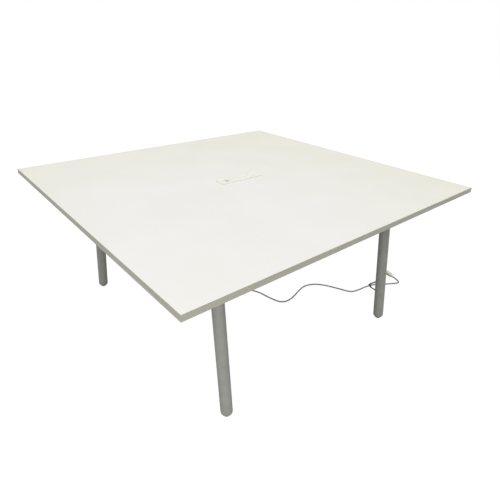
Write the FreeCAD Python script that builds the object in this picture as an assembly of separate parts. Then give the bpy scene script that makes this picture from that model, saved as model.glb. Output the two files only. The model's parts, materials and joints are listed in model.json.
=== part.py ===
import FreeCAD
import Part
import math
import os
from FreeCAD import Vector

# Collaboration table with a power module set into the middle of its worktop.
# Millimetres. The origin is on the floor under the middle of the table, +X runs along
# the longer side of the worktop, +Z points up.

# Worktop
table_length = 1676.0
table_depth = 1524.0
table_height = 737.0
core_thickness = 21.4
laminate_thickness = 0.8
backer_thickness = 0.8
edge_band_thickness = 2.0
edge_band_round = 1.2

# Fits between pieces
slip_clearance = 0.15
running_clearance = 0.05
loose_clearance = 0.4
overrun = 1.0

# Legs: round tubes set in from the edges of the worktop, that lean outwards along Y only
leg_inset_x = 303.0
leg_inset_y = 262.0
leg_splay = 100.0
leg_diameter = 50.8
leg_wall = 2.0

# Rounded foot cap and levelling glide
foot_seam_height = 27.0
foot_round = 18.0
foot_bottom_height = 3.6
foot_plug_length = 30.0
glide_diameter = 28.0
glide_thickness = 3.2
glide_edge_bevel = 0.7
stud_diameter = 10.0
stud_length = 42.0

# Cast leg socket
socket_flange_length = 116.0
socket_flange_depth = 110.0
socket_flange_thickness = 6.0
socket_flange_corner = 12.0
socket_boss_radius = 38.0
socket_boss_drop = 3.0
socket_boss_waist_share = 0.62
socket_spigot_length = 62.0
socket_spigot_chamfer = 2.0
socket_spigot_wall = 6.0
socket_core_cover = 12.0
socket_arm_length = 45.0
socket_tongue_length = 50.0
socket_rib_thickness = 6.0
socket_rib_reach = 16.0
socket_rib_height = 26.0
flange_screw_inset = 14.0

# Steel rails and beams
rail_width = 30.0
rail_height = 50.0
rail_wall = 2.0
rail_corner = 3.0
beam_setback = 250.0
end_plate_length = 90.0
end_plate_thickness = 6.0
end_plate_bolt_spacing = 64.0
tab_width = 36.0
tab_reach = 26.0
tab_drop = 22.0
tab_thickness = 3.0
rail_tab_spacing = 280.0
beam_tab_spacing = 520.0

# Fasteners
top_screw_diameter = 4.8
top_screw_length = 20.0
top_screw_head_diameter = 9.5
top_screw_head_height = 3.2
top_screw_head_taper_share = 0.75
pilot_depth = 18.5
bolt_diameter = 8.0
bolt_length = 22.0
bolt_head_width = 13.0
bolt_head_height = 5.3
rivet_nut_diameter = 11.0
rivet_nut_length = 14.0
rivet_nut_bulge_diameter = 14.0
rivet_nut_bulge_length = 3.0
leg_screw_diameter = 6.0
leg_screw_reach = 8.0
leg_screw_head_diameter = 10.5
leg_screw_head_height = 2.8
leg_screw_inset = 17.0
leg_screw_pitch = 28.0
leg_screw_hole_diameter = 6.6

# Power module: its frame is as large as the inserts and the margins round them need
side_margin = 3.5
insert_gap = 7.0
left_post_gap = 7.6
right_post_gap = 2.25
bezel_rise = 3.0
bezel_corner = 4.0
bezel_edge_round = 1.2
bezel_border = 9.0
bezel_overlap = 7.0
bezel_skirt_depth = 6.0
cutout_corner = 3.0
housing_depth = 74.0
housing_wall = 1.5
face_plate_thickness = 2.5
face_plate_recess = 1.8
insert_size = 31.0
insert_corner = 2.0
insert_proud = 0.6
insert_flange_reach = 1.75
insert_flange_thickness = 2.0
insert_depth = 24.0
outlet_count = 3
blade_slot_spacing = 12.7
blade_slot_length = 7.5
blade_slot_width = 1.8
blade_slot_depth = 15.0
blade_slot_offset = 4.0
ground_hole_diameter = 5.0
ground_hole_offset = 8.0
usb_port_width = 13.0
usb_port_height = 6.0
usb_port_depth = 12.0
usb_port_spacing = 13.0
usb_board_thickness = 1.6
usb_board_depth = 26.0
blank_length = 42.0
blank_step = 0.5
blank_recess = 2.4
blank_wall = 1.6
blank_depth = 10.0
knockout_size = 14.0
knockout_spacing = 18.0
knockout_groove = 1.0
knockout_groove_depth = 0.6
face_screw_inset = 5.5
face_screw_diameter = 3.0
face_screw_length = 12.0
face_screw_head_diameter = 5.6
face_screw_head_height = 0.8
screw_post_size = 9.0
screw_post_depth = 46.0
clamp_width = 24.0
clamp_reach = 30.0
clamp_thickness = 2.5
clamp_height = 20.0
clamp_gap = 10.0
clamp_screw_diameter = 5.0
clamp_screw_inset = 9.0
clamp_screw_head_height = 4.0
clamp_screw_head_diameter = 9.0
clamp_pad_diameter = 9.0
clamp_pad_thickness = 2.0
bus_bar_width = 4.0
bus_bar_thickness = 1.2
bus_bar_spacing = 9.0
terminal_block_length = 22.0
terminal_block_width = 28.0
terminal_block_height = 20.0
conductor_diameter = 2.8

# Cord, gland, tie and plug
cord_diameter = 8.0
gland_inset = 21.6
gland_hex_width = 22.0
gland_hex_height = 9.0
gland_neck_diameter = 17.0
gland_neck_length = 6.0
gland_end_diameter = 11.0
gland_length = 40.0
tie_width = 8.0
tie_thickness = 1.3
tie_long_tail_length = 84.0
tie_short_tail_length = 62.0
tie_tail_width = 9.0
tie_long_tail_turn = 10.0
tie_short_tail_turn = 83.0
runs_before_tie_count = 22
plug_strain_length = 16.0
plug_strain_start_diameter = 10.0
plug_strain_end_diameter = 15.0
plug_body_length = 52.0
plug_body_width = 28.0
plug_body_height = 22.0
plug_body_round = 6.0
plug_grip_width = 23.0
plug_grip_height = 19.0
plug_shoulder = 8.0
plug_blade_length = 17.5
plug_blade_width = 6.4
plug_blade_thickness = 1.5
plug_pin_diameter = 4.8
plug_pin_length = 20.5
plug_pin_offset = 7.9
plug_blade_offset = 4.0

# The cord's route from the gland down to the floor, along it in two loose bends, round
# behind one leg and back in a tight fold to the plug.
cord_route = [
    (92, 0, 623), (92, 0, 552), (93, 6, 461), (95, 19, 370), (98, 38, 281),
    (101, 62, 195), (105, 78, 116), (108, 85, 56), (119, 65, 18), (134, 27, 4),
    (166, -27, 4), (174, -101, 4), (193, -178, 4), (236, -198, 4), (297, -188, 4),
    (368, -163, 4), (440, -146, 4), (506, -171, 4), (550, -225, 4), (590, -310, 4),
    (612, -362, 4), (668, -377, 4), (730, -382, 6), (798, -399, 6), (848, -431, 4),
    (888, -453, 4), (912, -468, 4), (930, -476.5, 4), (943, -479.5, 5), (952.5, -471.5, 8),
    (957, -454, 11), (966, -428, 11),
]
cord_arc_share = 0.45

# Heights and places that follow from the sizes above
top_thickness = backer_thickness + core_thickness + laminate_thickness
underside = table_height - top_thickness
core_bottom = underside + backer_thickness
core_top = core_bottom + core_thickness
core_length = table_length - 2 * edge_band_thickness
core_depth = table_depth - 2 * edge_band_thickness
leg_x = table_length / 2 - leg_inset_x
leg_top_y = table_depth / 2 - leg_inset_y
leg_floor_y = leg_top_y + leg_splay
leg_radius = leg_diameter / 2
rail_bottom = underside - rail_height
rail_middle = underside - rail_height / 2
rail_end_y = leg_top_y - socket_arm_length
beam_y = leg_top_y - beam_setback
beam_half_length = leg_x - rail_width / 2 - end_plate_thickness
insert_pitch = insert_size + insert_gap
insert_flange = insert_size + 2 * insert_flange_reach
blank_width = insert_size - 2 * blank_step
post_room = slip_clearance + face_screw_inset + screw_post_size / 2
left_margin = post_room + left_post_gap + insert_flange_reach
right_margin = post_room + right_post_gap + blank_wall
inserts_length = (outlet_count + 1) * insert_size + outlet_count * insert_gap
blank_gap = insert_flange_reach + slip_clearance + blank_wall
window_length = left_margin + inserts_length + blank_gap + blank_length + right_margin
window_width = insert_size + 2 * side_margin
bezel_length = window_length + 2 * bezel_border
bezel_width = window_width + 2 * bezel_border
cutout_length = bezel_length - 2 * bezel_overlap
cutout_width = bezel_width - 2 * bezel_overlap
housing_length = cutout_length - 2 * loose_clearance
housing_width = cutout_width - 2 * loose_clearance
housing_corner = cutout_corner - loose_clearance
housing_bottom = table_height - housing_depth
housing_top = table_height - bezel_skirt_depth
plate_top = table_height + bezel_rise - face_plate_recess
plate_bottom = plate_top - face_plate_thickness
plate_length = window_length - 2 * slip_clearance
plate_width = window_width - 2 * slip_clearance
insert_top = plate_top + insert_proud
insert_bottom = plate_bottom - insert_flange_thickness - insert_depth
first_insert_x = (insert_size - window_length) / 2 + left_margin
blank_x = (window_length - blank_length) / 2 - right_margin
gland_x = housing_length / 2 - gland_inset
post_face_x = plate_length / 2 - face_screw_inset - screw_post_size / 2
terminal_x = post_face_x - slip_clearance - terminal_block_length / 2

# The leg's centre line, from the underside of the worktop down to the floor
lean = Vector(0, leg_floor_y - leg_top_y, -underside)
lean_length = lean.Length
down_leg = Vector(0, lean.y / lean_length, lean.z / lean_length)
across_leg = Vector(0, down_leg.z, -down_leg.y)
boss_height = (rail_height + socket_boss_drop) / -down_leg.z

# Share of an arc's radius at the middle of a quarter turn
half_right_share = math.cos(math.pi / 4)


def on_leg(distance):
    """Point of the leg's centre line, a distance below the underside of the worktop."""
    return Vector(leg_x, leg_top_y, underside) + down_leg * distance


def above_floor(height):
    """Distance down the leg's centre line of a point that is a length above its foot."""
    return lean_length - height


def block(size, centre_x, centre_y, bottom):
    """Box of three sizes on a centre and a bottom height."""
    corner = Vector(centre_x - size[0] / 2, centre_y - size[1] / 2, bottom)
    return Part.makeBox(size[0], size[1], size[2], corner)


def rounded_face(length, width, radius, centre_x, centre_y, height):
    """Flat rectangle with round corners."""
    x = length / 2 - radius
    y = width / 2 - radius
    centre = Vector(centre_x, centre_y, height)
    edges = []
    quarter = math.pi / 2
    points = []
    for turn, (side_x, side_y) in enumerate(((1, 1), (-1, 1), (-1, -1), (1, -1))):
        middle = centre + Vector(side_x * x, side_y * y, 0)
        on_arc = []
        for step in (0, 0.5, 1):
            angle = (turn + step) * quarter
            on_arc.append(middle + Vector(radius * math.cos(angle), radius * math.sin(angle), 0))
        points.append(on_arc)
    for index, on_arc in enumerate(points):
        following = points[(index + 1) % len(points)]
        edges.append(Part.Arc(on_arc[0], on_arc[1], on_arc[2]).toShape())
        edges.append(Part.LineSegment(on_arc[2], following[0]).toShape())
    return Part.Face(Part.Wire(edges))


def rounded_block(size, radius, centre_x, centre_y, bottom):
    """Upright prism of a rectangle with round corners."""
    face = rounded_face(size[0], size[1], radius, centre_x, centre_y, bottom)
    return face.extrude(Vector(0, 0, size[2]))


def rod(diameter, start, end):
    """Round bar between two points."""
    along = end - start
    return Part.makeCylinder(diameter / 2, along.Length, start, along)


def upright(diameter, height, centre_x, centre_y, bottom):
    """Round bar that stands upright."""
    return rod(diameter, Vector(centre_x, centre_y, bottom), Vector(centre_x, centre_y, bottom + height))


def hexagon_bar(width, start, end):
    """Six-sided bar between two points, a width across its flats."""
    along = end - start
    radius = width / 2 / math.cos(math.pi / 6)
    points = []
    for index in range(6):
        angle = index * math.pi / 3
        points.append(Vector(radius * math.cos(angle), radius * math.sin(angle), 0))
    bar = Part.Face(Part.makePolygon(points + [points[0]])).extrude(Vector(0, 0, along.Length))
    bar.Placement = FreeCAD.Placement(start, FreeCAD.Rotation(Vector(0, 0, 1), along))
    return bar


def turned(edges, origin, along):
    """Solid turned from a half profile drawn with X as its radius and Z as its axis."""
    solid = Part.Face(Part.Wire(edges)).revolve(Vector(0, 0, 0), Vector(0, 0, 1), 360)
    solid.Placement = FreeCAD.Placement(origin, FreeCAD.Rotation(Vector(0, 0, 1), along))
    return solid


def lines(points):
    """Straight edges from each point to the next."""
    return [Part.LineSegment(a, b).toShape() for a, b in zip(points, points[1:])]


def at(radius, height):
    """Point of a half profile."""
    return Vector(radius, 0, height)


def to_corner(shape, side_x, side_y):
    """Copy of a piece of the +X +Y corner, moved to another corner of the table."""
    copy = shape.copy()
    if side_x < 0:
        copy = copy.mirror(Vector(0, 0, 0), Vector(1, 0, 0))
    if side_y < 0:
        copy = copy.mirror(Vector(0, 0, 0), Vector(0, 1, 0))
    return copy


corner_signs = [("front_left", -1, -1), ("front_right", 1, -1), ("back_left", -1, 1), ("back_right", 1, 1)]


def at_corners(shape):
    """Four copies of a piece of the +X +Y corner."""
    return [to_corner(shape, side_x, side_y) for _, side_x, side_y in corner_signs]


def flange_centre_y():
    """Middle of the leg socket's flange, whose inner edge meets the end of the rail."""
    return rail_end_y + socket_flange_depth / 2


def flange_screw_places():
    """The four screw holes of one leg socket."""
    reach_x = socket_flange_length / 2 - flange_screw_inset
    reach_y = socket_flange_depth / 2 - flange_screw_inset
    return [(leg_x + sx * reach_x, flange_centre_y() + sy * reach_y) for sx in (-1, 1) for sy in (-1, 1)]


def tab_places():
    """Top fixing tabs: centre of the wall that carries each, and the way that it points."""
    places = []
    for side in (-1, 1):
        for end in (-1, 1):
            places.append((side * (leg_x + rail_width / 2), end * rail_tab_spacing / 2, side, 0))
            places.append((end * beam_tab_spacing / 2, side * (beam_y - rail_width / 2), 0, -side))
    return places


def tab_screw_places():
    """The screw hole of each top fixing tab."""
    reach = (tab_reach + tab_thickness) / 2
    return [(x + way_x * reach, y + way_y * reach) for x, y, way_x, way_y in tab_places()]


def make_worktop():
    """Core, laminate, backing sheet and the four edge bands."""
    pilots = []
    for x, y in flange_screw_places():
        for side_x in (-1, 1):
            for side_y in (-1, 1):
                pilots.append((side_x * x, side_y * y))
    pilots += tab_screw_places()
    pilot_diameter = top_screw_diameter + 2 * running_clearance
    drills = [upright(pilot_diameter, pilot_depth + overrun, x, y, underside - overrun) for x, y in pilots]
    cut_size = (cutout_length, cutout_width, top_thickness + 2 * overrun)
    cutout = rounded_block(cut_size, cutout_corner, 0, 0, underside - overrun)
    tools = Part.makeCompound([cutout] + drills)
    core = block((core_length, core_depth, core_thickness), 0, 0, core_bottom).cut(tools)
    backer = block((core_length, core_depth, backer_thickness), 0, 0, underside).cut(tools)
    laminate = block((core_length, core_depth, laminate_thickness), 0, 0, core_top).cut(cutout)
    pieces = {"worktop_core": core, "top_laminate": laminate, "backing_sheet": backer}
    band_y = (table_depth - edge_band_thickness) / 2
    band_x = (table_length - edge_band_thickness) / 2
    long_size = (table_length, edge_band_thickness, top_thickness)
    short_size = (edge_band_thickness, core_depth, top_thickness)
    pieces["edge_band_front"] = round_outer_edges(block(long_size, 0, -band_y, underside), Vector(0, -1, 0))
    pieces["edge_band_back"] = round_outer_edges(block(long_size, 0, band_y, underside), Vector(0, 1, 0))
    pieces["edge_band_left"] = round_outer_edges(block(short_size, -band_x, 0, underside), Vector(-1, 0, 0))
    pieces["edge_band_right"] = round_outer_edges(block(short_size, band_x, 0, underside), Vector(1, 0, 0))
    return pieces


def round_outer_edges(band, outward):
    """Edge band with its two long outer edges rounded."""
    box = band.BoundBox
    face_at = outward.x * box.XLength / 2 + outward.y * box.YLength / 2
    chosen = []
    for edge in band.Edges:
        middle = edge.CenterOfMass - box.Center
        level = edge.Vertexes[0].Point.z - edge.Vertexes[-1].Point.z
        outer = abs(middle.x * outward.x + middle.y * outward.y - abs(face_at)) < slip_clearance
        if outer and abs(level) < slip_clearance:
            chosen.append(edge)
    return band.makeFillet(edge_band_round, chosen)


def make_leg_socket():
    """Cast socket: flange, trumpet-shaped boss, hollow spigot, ribs and tongue."""
    spigot_radius = leg_radius - leg_wall - slip_clearance
    bore_radius = spigot_radius - socket_spigot_wall
    spigot_end = boss_height + socket_spigot_length
    waist_radius = leg_radius + (socket_boss_radius - leg_radius) * (1 - socket_boss_waist_share) / 2
    waist_depth = boss_height * socket_boss_waist_share
    above = -socket_boss_radius
    start = at(socket_boss_radius, socket_flange_thickness / 2)
    shoulder = at(leg_radius, boss_height)
    flare = Part.Arc(start, at(waist_radius, waist_depth), shoulder).toShape()
    down_side = lines([at(0, above), at(socket_boss_radius, above), start])
    spigot_side = lines([
        shoulder,
        at(spigot_radius, boss_height),
        at(spigot_radius, spigot_end - socket_spigot_chamfer),
        at(spigot_radius - socket_spigot_chamfer, spigot_end),
        at(bore_radius, spigot_end),
        at(bore_radius, socket_core_cover + bore_radius),
    ])
    core_end = at(0, socket_core_cover)
    dome_middle = at(bore_radius * half_right_share, socket_core_cover + bore_radius * (1 - half_right_share))
    dome = Part.Arc(at(bore_radius, socket_core_cover + bore_radius), dome_middle, core_end).toShape()
    closing = lines([core_end, at(0, above)])
    boss = turned(down_side + [flare] + spigot_side + [dome] + closing, on_leg(0), down_leg)

    flange_size = (socket_flange_length, socket_flange_depth, socket_flange_thickness)
    flange_bottom = underside - socket_flange_thickness
    flange = rounded_block(flange_size, socket_flange_corner, leg_x, flange_centre_y(), flange_bottom)
    arm_size = (rail_width, socket_arm_length, rail_height)
    arm = block(arm_size, leg_x, leg_top_y - socket_arm_length / 2, rail_bottom)
    tongue_gap = rail_wall + slip_clearance
    tongue_size = (rail_width - 2 * tongue_gap, socket_tongue_length + overrun, rail_height - 2 * tongue_gap)
    tongue_y = rail_end_y - (socket_tongue_length - overrun) / 2
    tongue_corner = rail_corner - rail_wall
    tongue = rail_bar(tongue_size, tongue_corner, leg_x, tongue_y, rail_middle)

    casting = boss.fuse([flange, arm, tongue] + socket_ribs())
    trim_size = (2 * socket_flange_length, 2 * socket_flange_length, 2 * socket_boss_radius)
    trim = block(trim_size, leg_x, leg_top_y, underside)
    bore = turned(
        lines([core_end, at(0, spigot_end + overrun), at(bore_radius, spigot_end + overrun),
               at(bore_radius, socket_core_cover + bore_radius)]) + [dome],
        on_leg(0), down_leg)
    hole_diameter = top_screw_diameter + 2 * loose_clearance
    holes = [upright(hole_diameter, socket_flange_thickness + 2 * overrun, x, y, flange_bottom - overrun)
             for x, y in flange_screw_places()]
    for bolt_start, bolt_end in socket_bolt_lines():
        holes.append(rod(bolt_diameter + 2 * running_clearance, bolt_start, bolt_end))
    screw_bore = leg_screw_diameter + 2 * running_clearance
    for place in leg_screw_starts():
        holes.append(rod(screw_bore, place, place + across_leg * -(leg_wall + socket_spigot_wall + overrun)))
    return casting.cut(Part.makeCompound([trim, bore])).cut(Part.makeCompound(holes)).removeSplitter()


def rail_bar(size, radius, centre_x, centre_y, centre_z):
    """Rounded bar that lies along Y."""
    face = rounded_face(size[0], size[2], radius, 0, 0, 0)
    bar = face.extrude(Vector(0, 0, size[1]))
    start = Vector(centre_x, centre_y + size[1] / 2, centre_z)
    bar.Placement = FreeCAD.Placement(start, FreeCAD.Rotation(Vector(1, 0, 0), 90))
    return bar


def socket_ribs():
    """Three webs between the flange and the boss: one to each side and one outwards."""
    top = underside - socket_flange_thickness / 2
    inner = leg_radius
    outer = socket_boss_radius + socket_rib_reach
    outline = [(inner, 0), (outer, 0), (outer, -socket_flange_thickness), (inner, -socket_rib_height)]
    ribs = []
    for way_x, way_y in ((1, 0), (-1, 0), (0, 1)):
        across = Vector(-way_y, way_x, 0) * socket_rib_thickness
        points = [Vector(leg_x + way_x * reach, leg_top_y + way_y * reach, top + drop) - across / 2
                  for reach, drop in outline]
        ribs.append(Part.Face(Part.makePolygon(points + [points[0]])).extrude(across))
    return ribs


def leg_screw_starts():
    """Where the two button screws of a leg enter its tube, on the side towards the table's middle."""
    starts = []
    for index in range(2):
        distance = boss_height + leg_screw_inset + index * leg_screw_pitch
        starts.append(on_leg(distance) + across_leg * leg_radius)
    return starts


def make_leg_screws():
    """Button screws that hold one leg tube on its spigot."""
    screws = []
    for start in leg_screw_starts():
        shank = rod(leg_screw_diameter, start, start - across_leg * leg_screw_reach)
        head = Part.makeCone(leg_screw_head_diameter / 2, leg_screw_diameter / 2, leg_screw_head_height,
                             start, across_leg)
        screws.append(head.fuse(shank).removeSplitter())
    return screws


def make_leg_tube():
    """Leg tube with the clearance holes for its button screws."""
    start = on_leg(boss_height)
    end = on_leg(above_floor(foot_seam_height))
    inner = rod(leg_diameter - 2 * leg_wall, start - down_leg * overrun, end + down_leg * overrun)
    holes = [rod(leg_screw_hole_diameter, place + across_leg * overrun, place - across_leg * (2 * leg_wall))
             for place in leg_screw_starts()]
    return rod(leg_diameter, start, end).cut(Part.makeCompound([inner] + holes))


def glide_y():
    """Place of the upright levelling stud: on the leg's centre line at the middle of the rounding."""
    return on_leg(above_floor(foot_bottom_height + foot_round)).y


def make_foot_cap():
    """Domed cap with a plug that sits in the tube and an upright threaded hole for the glide."""
    plug_radius = leg_radius - leg_wall - slip_clearance
    flat_radius = leg_radius - foot_round
    wall_end = foot_bottom_height + foot_round
    arc_middle = at(flat_radius + foot_round * half_right_share, wall_end - foot_round * half_right_share)
    dome = Part.Arc(at(leg_radius, wall_end), arc_middle, at(flat_radius, foot_bottom_height)).toShape()
    upper = lines([
        at(0, foot_bottom_height),
        at(0, foot_seam_height + foot_plug_length),
        at(plug_radius, foot_seam_height + foot_plug_length),
        at(plug_radius, foot_seam_height),
        at(leg_radius, foot_seam_height),
        at(leg_radius, wall_end),
    ])
    lower = lines([at(flat_radius, foot_bottom_height), at(0, foot_bottom_height)])
    cap = turned(upper + [dome] + lower, on_leg(lean_length), down_leg * -1)
    seat = glide_thickness + loose_clearance
    trim = block((leg_diameter, leg_diameter, seat + overrun), leg_x, glide_y(), -overrun)
    tall = stud_length + glide_thickness + foot_plug_length
    thread = upright(stud_diameter, tall, leg_x, glide_y(), 0)
    return cap.cut(trim.fuse(thread))


def make_glide_pad():
    """Moulded pad under the foot cap, with bevelled rims."""
    pad = upright(glide_diameter, glide_thickness, leg_x, glide_y(), 0)
    rims = [edge for edge in pad.Edges if edge.Closed]
    pad = pad.makeChamfer(glide_edge_bevel, rims)
    socket = upright(stud_diameter - 2 * running_clearance, glide_thickness / 2 + overrun,
                     leg_x, glide_y(), glide_thickness / 2)
    return pad.cut(socket)


def make_glide_stud():
    """Threaded stud that the pad is moulded on."""
    start = glide_thickness / 2
    return upright(stud_diameter - 2 * running_clearance, stud_length, leg_x, glide_y(), start)


def hollow_bar(size, centre_x, centre_y, centre_z):
    """Rectangular steel tube along Y."""
    outer = rail_bar(size, rail_corner, centre_x, centre_y, centre_z)
    inner_size = (size[0] - 2 * rail_wall, size[1] + 2 * overrun, size[2] - 2 * rail_wall)
    return outer.cut(rail_bar(inner_size, rail_corner - rail_wall, centre_x, centre_y, centre_z))


def beam_bolt_places():
    """Bolt centres of one beam end, along the rail."""
    return [side * beam_y + end * end_plate_bolt_spacing / 2 for side in (-1, 1) for end in (-1, 1)]


def socket_bolt_lines():
    """Centre line of the bolt that ties the rail to the socket's tongue."""
    face = Vector(leg_x - rail_width / 2, rail_end_y - socket_tongue_length / 2, rail_middle)
    return [(face - Vector(overrun, 0, 0), face + Vector(bolt_length + overrun, 0, 0))]


def make_side_rail():
    """Right-hand side rail with the holes for the beam nuts and the socket bolts."""
    rail = hollow_bar((rail_width, 2 * rail_end_y, rail_height), leg_x, 0, rail_middle)
    face_x = leg_x - rail_width / 2
    holes = []
    for y in beam_bolt_places():
        holes.append(rod(rivet_nut_diameter + 2 * slip_clearance, Vector(face_x - overrun, y, rail_middle),
                         Vector(face_x + rail_wall + overrun, y, rail_middle)))
    for start, end in socket_bolt_lines():
        stop = Vector(face_x + rail_wall + overrun, start.y, start.z)
        hole = rod(bolt_diameter + 2 * slip_clearance, start, stop)
        holes += [hole, hole.mirror(Vector(0, 0, 0), Vector(0, 1, 0))]
    return rail.cut(Part.makeCompound(holes))


def make_cross_beam():
    """Back cross beam between the end plates."""
    beam = hollow_bar((rail_width, 2 * beam_half_length, rail_height), 0, 0, rail_middle)
    beam.rotate(Vector(0, 0, 0), Vector(0, 0, 1), 90)
    beam.translate(Vector(0, beam_y, 0))
    return beam


def make_end_plates():
    """Plates that close the cross beams and bolt to the side rails."""
    plates = []
    plate_x = leg_x - rail_width / 2 - end_plate_thickness / 2
    for side_x in (-1, 1):
        for side_y in (-1, 1):
            size = (end_plate_thickness, end_plate_length, rail_height)
            plate = block(size, side_x * plate_x, side_y * beam_y, rail_bottom)
            reach = Vector(end_plate_thickness / 2 + overrun, 0, 0)
            for end in (-1, 1):
                y = side_y * beam_y + end * end_plate_bolt_spacing / 2
                middle = Vector(side_x * plate_x, y, rail_middle)
                plate = plate.cut(rod(bolt_diameter + 2 * slip_clearance, middle - reach, middle + reach))
            plates.append(plate)
    return plates


def make_bolt(seat, inward):
    """Hexagon bolt whose head sits on a face, with its shank pointing inward."""
    head = hexagon_bar(bolt_head_width, seat - inward * bolt_head_height, seat)
    return head.fuse(rod(bolt_diameter, seat, seat + inward * bolt_length)).removeSplitter()


def make_rivet_nut(seat, inward):
    """Rivet nut: sleeve flush with the rail's face and the bulge that grips behind its wall."""
    behind_wall = seat + inward * rail_wall
    bulge = rod(rivet_nut_bulge_diameter, behind_wall, behind_wall + inward * rivet_nut_bulge_length)
    nut = bulge.fuse(rod(rivet_nut_diameter, seat, seat + inward * rivet_nut_length))
    bore = rod(bolt_diameter + 2 * running_clearance, seat - inward * overrun,
               seat + inward * (rivet_nut_length + overrun))
    return nut.cut(bore).removeSplitter()


def make_beam_fasteners():
    """Bolts and rivet nuts of the four beam ends."""
    bolts = []
    nuts = []
    for side_x in (-1, 1):
        inward = Vector(side_x, 0, 0)
        for y in beam_bolt_places():
            rail_face = Vector(side_x * (leg_x - rail_width / 2), y, rail_middle)
            bolts.append(make_bolt(rail_face - inward * end_plate_thickness, inward))
            nuts.append(make_rivet_nut(rail_face, inward))
    return bolts, nuts


def make_socket_bolts():
    """Bolts that tie the rails to the four sockets."""
    seat = Vector(leg_x - rail_width / 2, rail_end_y - socket_tongue_length / 2, rail_middle)
    return at_corners(make_bolt(seat, Vector(1, 0, 0)))


def make_top_tabs():
    """Angle tabs welded to the rails and beams for the screws into the worktop."""
    tabs = []
    hole_diameter = top_screw_diameter + 2 * loose_clearance
    for (x, y, way_x, way_y), (hole_x, hole_y) in zip(tab_places(), tab_screw_places()):
        along_x = tab_width * abs(way_y)
        along_y = tab_width * abs(way_x)
        leaf_size = (along_x + tab_reach * abs(way_x), along_y + tab_reach * abs(way_y), tab_thickness)
        wall_size = (along_x + tab_thickness * abs(way_x), along_y + tab_thickness * abs(way_y), tab_drop)
        leaf = block(leaf_size, x + way_x * tab_reach / 2, y + way_y * tab_reach / 2,
                     underside - tab_thickness)
        wall = block(wall_size, x + way_x * tab_thickness / 2, y + way_y * tab_thickness / 2,
                     underside - tab_drop)
        hole = upright(hole_diameter, tab_thickness + 2 * overrun, hole_x, hole_y,
                       underside - tab_thickness - overrun)
        tabs.append(leaf.fuse(wall).cut(hole).removeSplitter())
    return tabs


def make_top_screw(x, y, seat):
    """Screw from below into the worktop, with its head against a seat height."""
    head_radius = top_screw_head_diameter / 2
    head = Part.makeCone(head_radius * top_screw_head_taper_share, head_radius,
                         top_screw_head_height, Vector(x, y, seat - top_screw_head_height))
    return head.fuse(upright(top_screw_diameter, top_screw_length, x, y, seat)).removeSplitter()


def make_top_screws():
    """All screws into the worktop."""
    screws = []
    for x, y in flange_screw_places():
        screws += at_corners(make_top_screw(x, y, underside - socket_flange_thickness))
    for x, y in tab_screw_places():
        screws.append(make_top_screw(x, y, underside - tab_thickness))
    return screws


def insert_x(index):
    """Centre of a square insert of the power module, counted from the left."""
    return first_insert_x + index * insert_pitch


def insert_body(centre_x):
    """Square insert: face block through the plate, flange under it and a body below."""
    face_height = insert_top - plate_bottom
    face = rounded_block((insert_size, insert_size, face_height), insert_corner, centre_x, 0, plate_bottom)
    flange_bottom = plate_bottom - insert_flange_thickness
    flange = block((insert_flange, insert_flange, insert_flange_thickness), centre_x, 0, flange_bottom)
    body = rounded_block((insert_size, insert_size, insert_depth), insert_corner, centre_x, 0, insert_bottom)
    return face.fuse([flange, body])


def make_outlet(centre_x):
    """Outlet with two blade slots and a round earth hole."""
    slots = []
    for side in (-1, 1):
        size = (blade_slot_width, blade_slot_length, blade_slot_depth + overrun)
        slots.append(block(size, centre_x + side * blade_slot_spacing / 2, blade_slot_offset,
                           insert_top - blade_slot_depth))
    slots.append(upright(ground_hole_diameter, blade_slot_depth + overrun, centre_x, -ground_hole_offset,
                         insert_top - blade_slot_depth))
    return insert_body(centre_x).cut(Part.makeCompound(slots)).removeSplitter()


def usb_port_places():
    """Centres of the two charger ports."""
    return [(insert_x(0), side * usb_port_spacing / 2) for side in (-1, 1)]


def make_usb_charger():
    """Charger insert with two ports."""
    charger = insert_body(insert_x(0))
    for x, y in usb_port_places():
        size = (usb_port_width, usb_port_height, usb_port_depth + overrun)
        charger = charger.cut(block(size, x, y, insert_top - usb_port_depth))
    return charger.removeSplitter()


def make_usb_board():
    """Circuit board of the charger, upright below its insert and between two bus bars."""
    size = (insert_size, usb_board_thickness, usb_board_depth)
    return block(size, insert_x(0), bus_bar_spacing / 2, insert_bottom - usb_board_depth)


def make_data_blank():
    """Recessed blank plate with two knock-out outlines, for data jacks."""
    size = (blank_length, blank_width, face_plate_thickness + insert_proud)
    rim = rounded_block(size, insert_corner, blank_x, 0, plate_bottom)
    flange_size = (blank_length + 2 * blank_wall, insert_flange, insert_flange_thickness)
    flange = block(flange_size, blank_x, 0, plate_bottom - insert_flange_thickness)
    cup_size = (blank_length, blank_width, blank_depth)
    cup = rounded_block(cup_size, insert_corner, blank_x, 0, plate_bottom - blank_depth)
    inner_length = blank_length - 2 * blank_wall
    inner_width = blank_width - 2 * blank_wall
    floor = insert_top - blank_recess
    pocket_size = (inner_length, inner_width, blank_recess + overrun)
    pocket = rounded_block(pocket_size, insert_corner / 2, blank_x, 0, floor)
    under_size = (inner_length, inner_width, blank_depth)
    under = block(under_size, blank_x, 0, floor - blank_wall - blank_depth)
    blank = rim.fuse([flange, cup]).cut(Part.makeCompound([pocket, under]))
    for side in (-1, 1):
        x = blank_x + side * knockout_spacing / 2
        ring_height = knockout_groove_depth + overrun
        bottom = floor - knockout_groove_depth
        ring = block((knockout_size, knockout_size, ring_height), x, 0, bottom)
        land_size = knockout_size - 2 * knockout_groove
        blank = blank.cut(ring.cut(block((land_size, land_size, ring_height), x, 0, bottom)))
    return blank.removeSplitter()


def face_screw_x():
    """Distance of the face plate's screws from the middle of the module."""
    return plate_length / 2 - face_screw_inset


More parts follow.
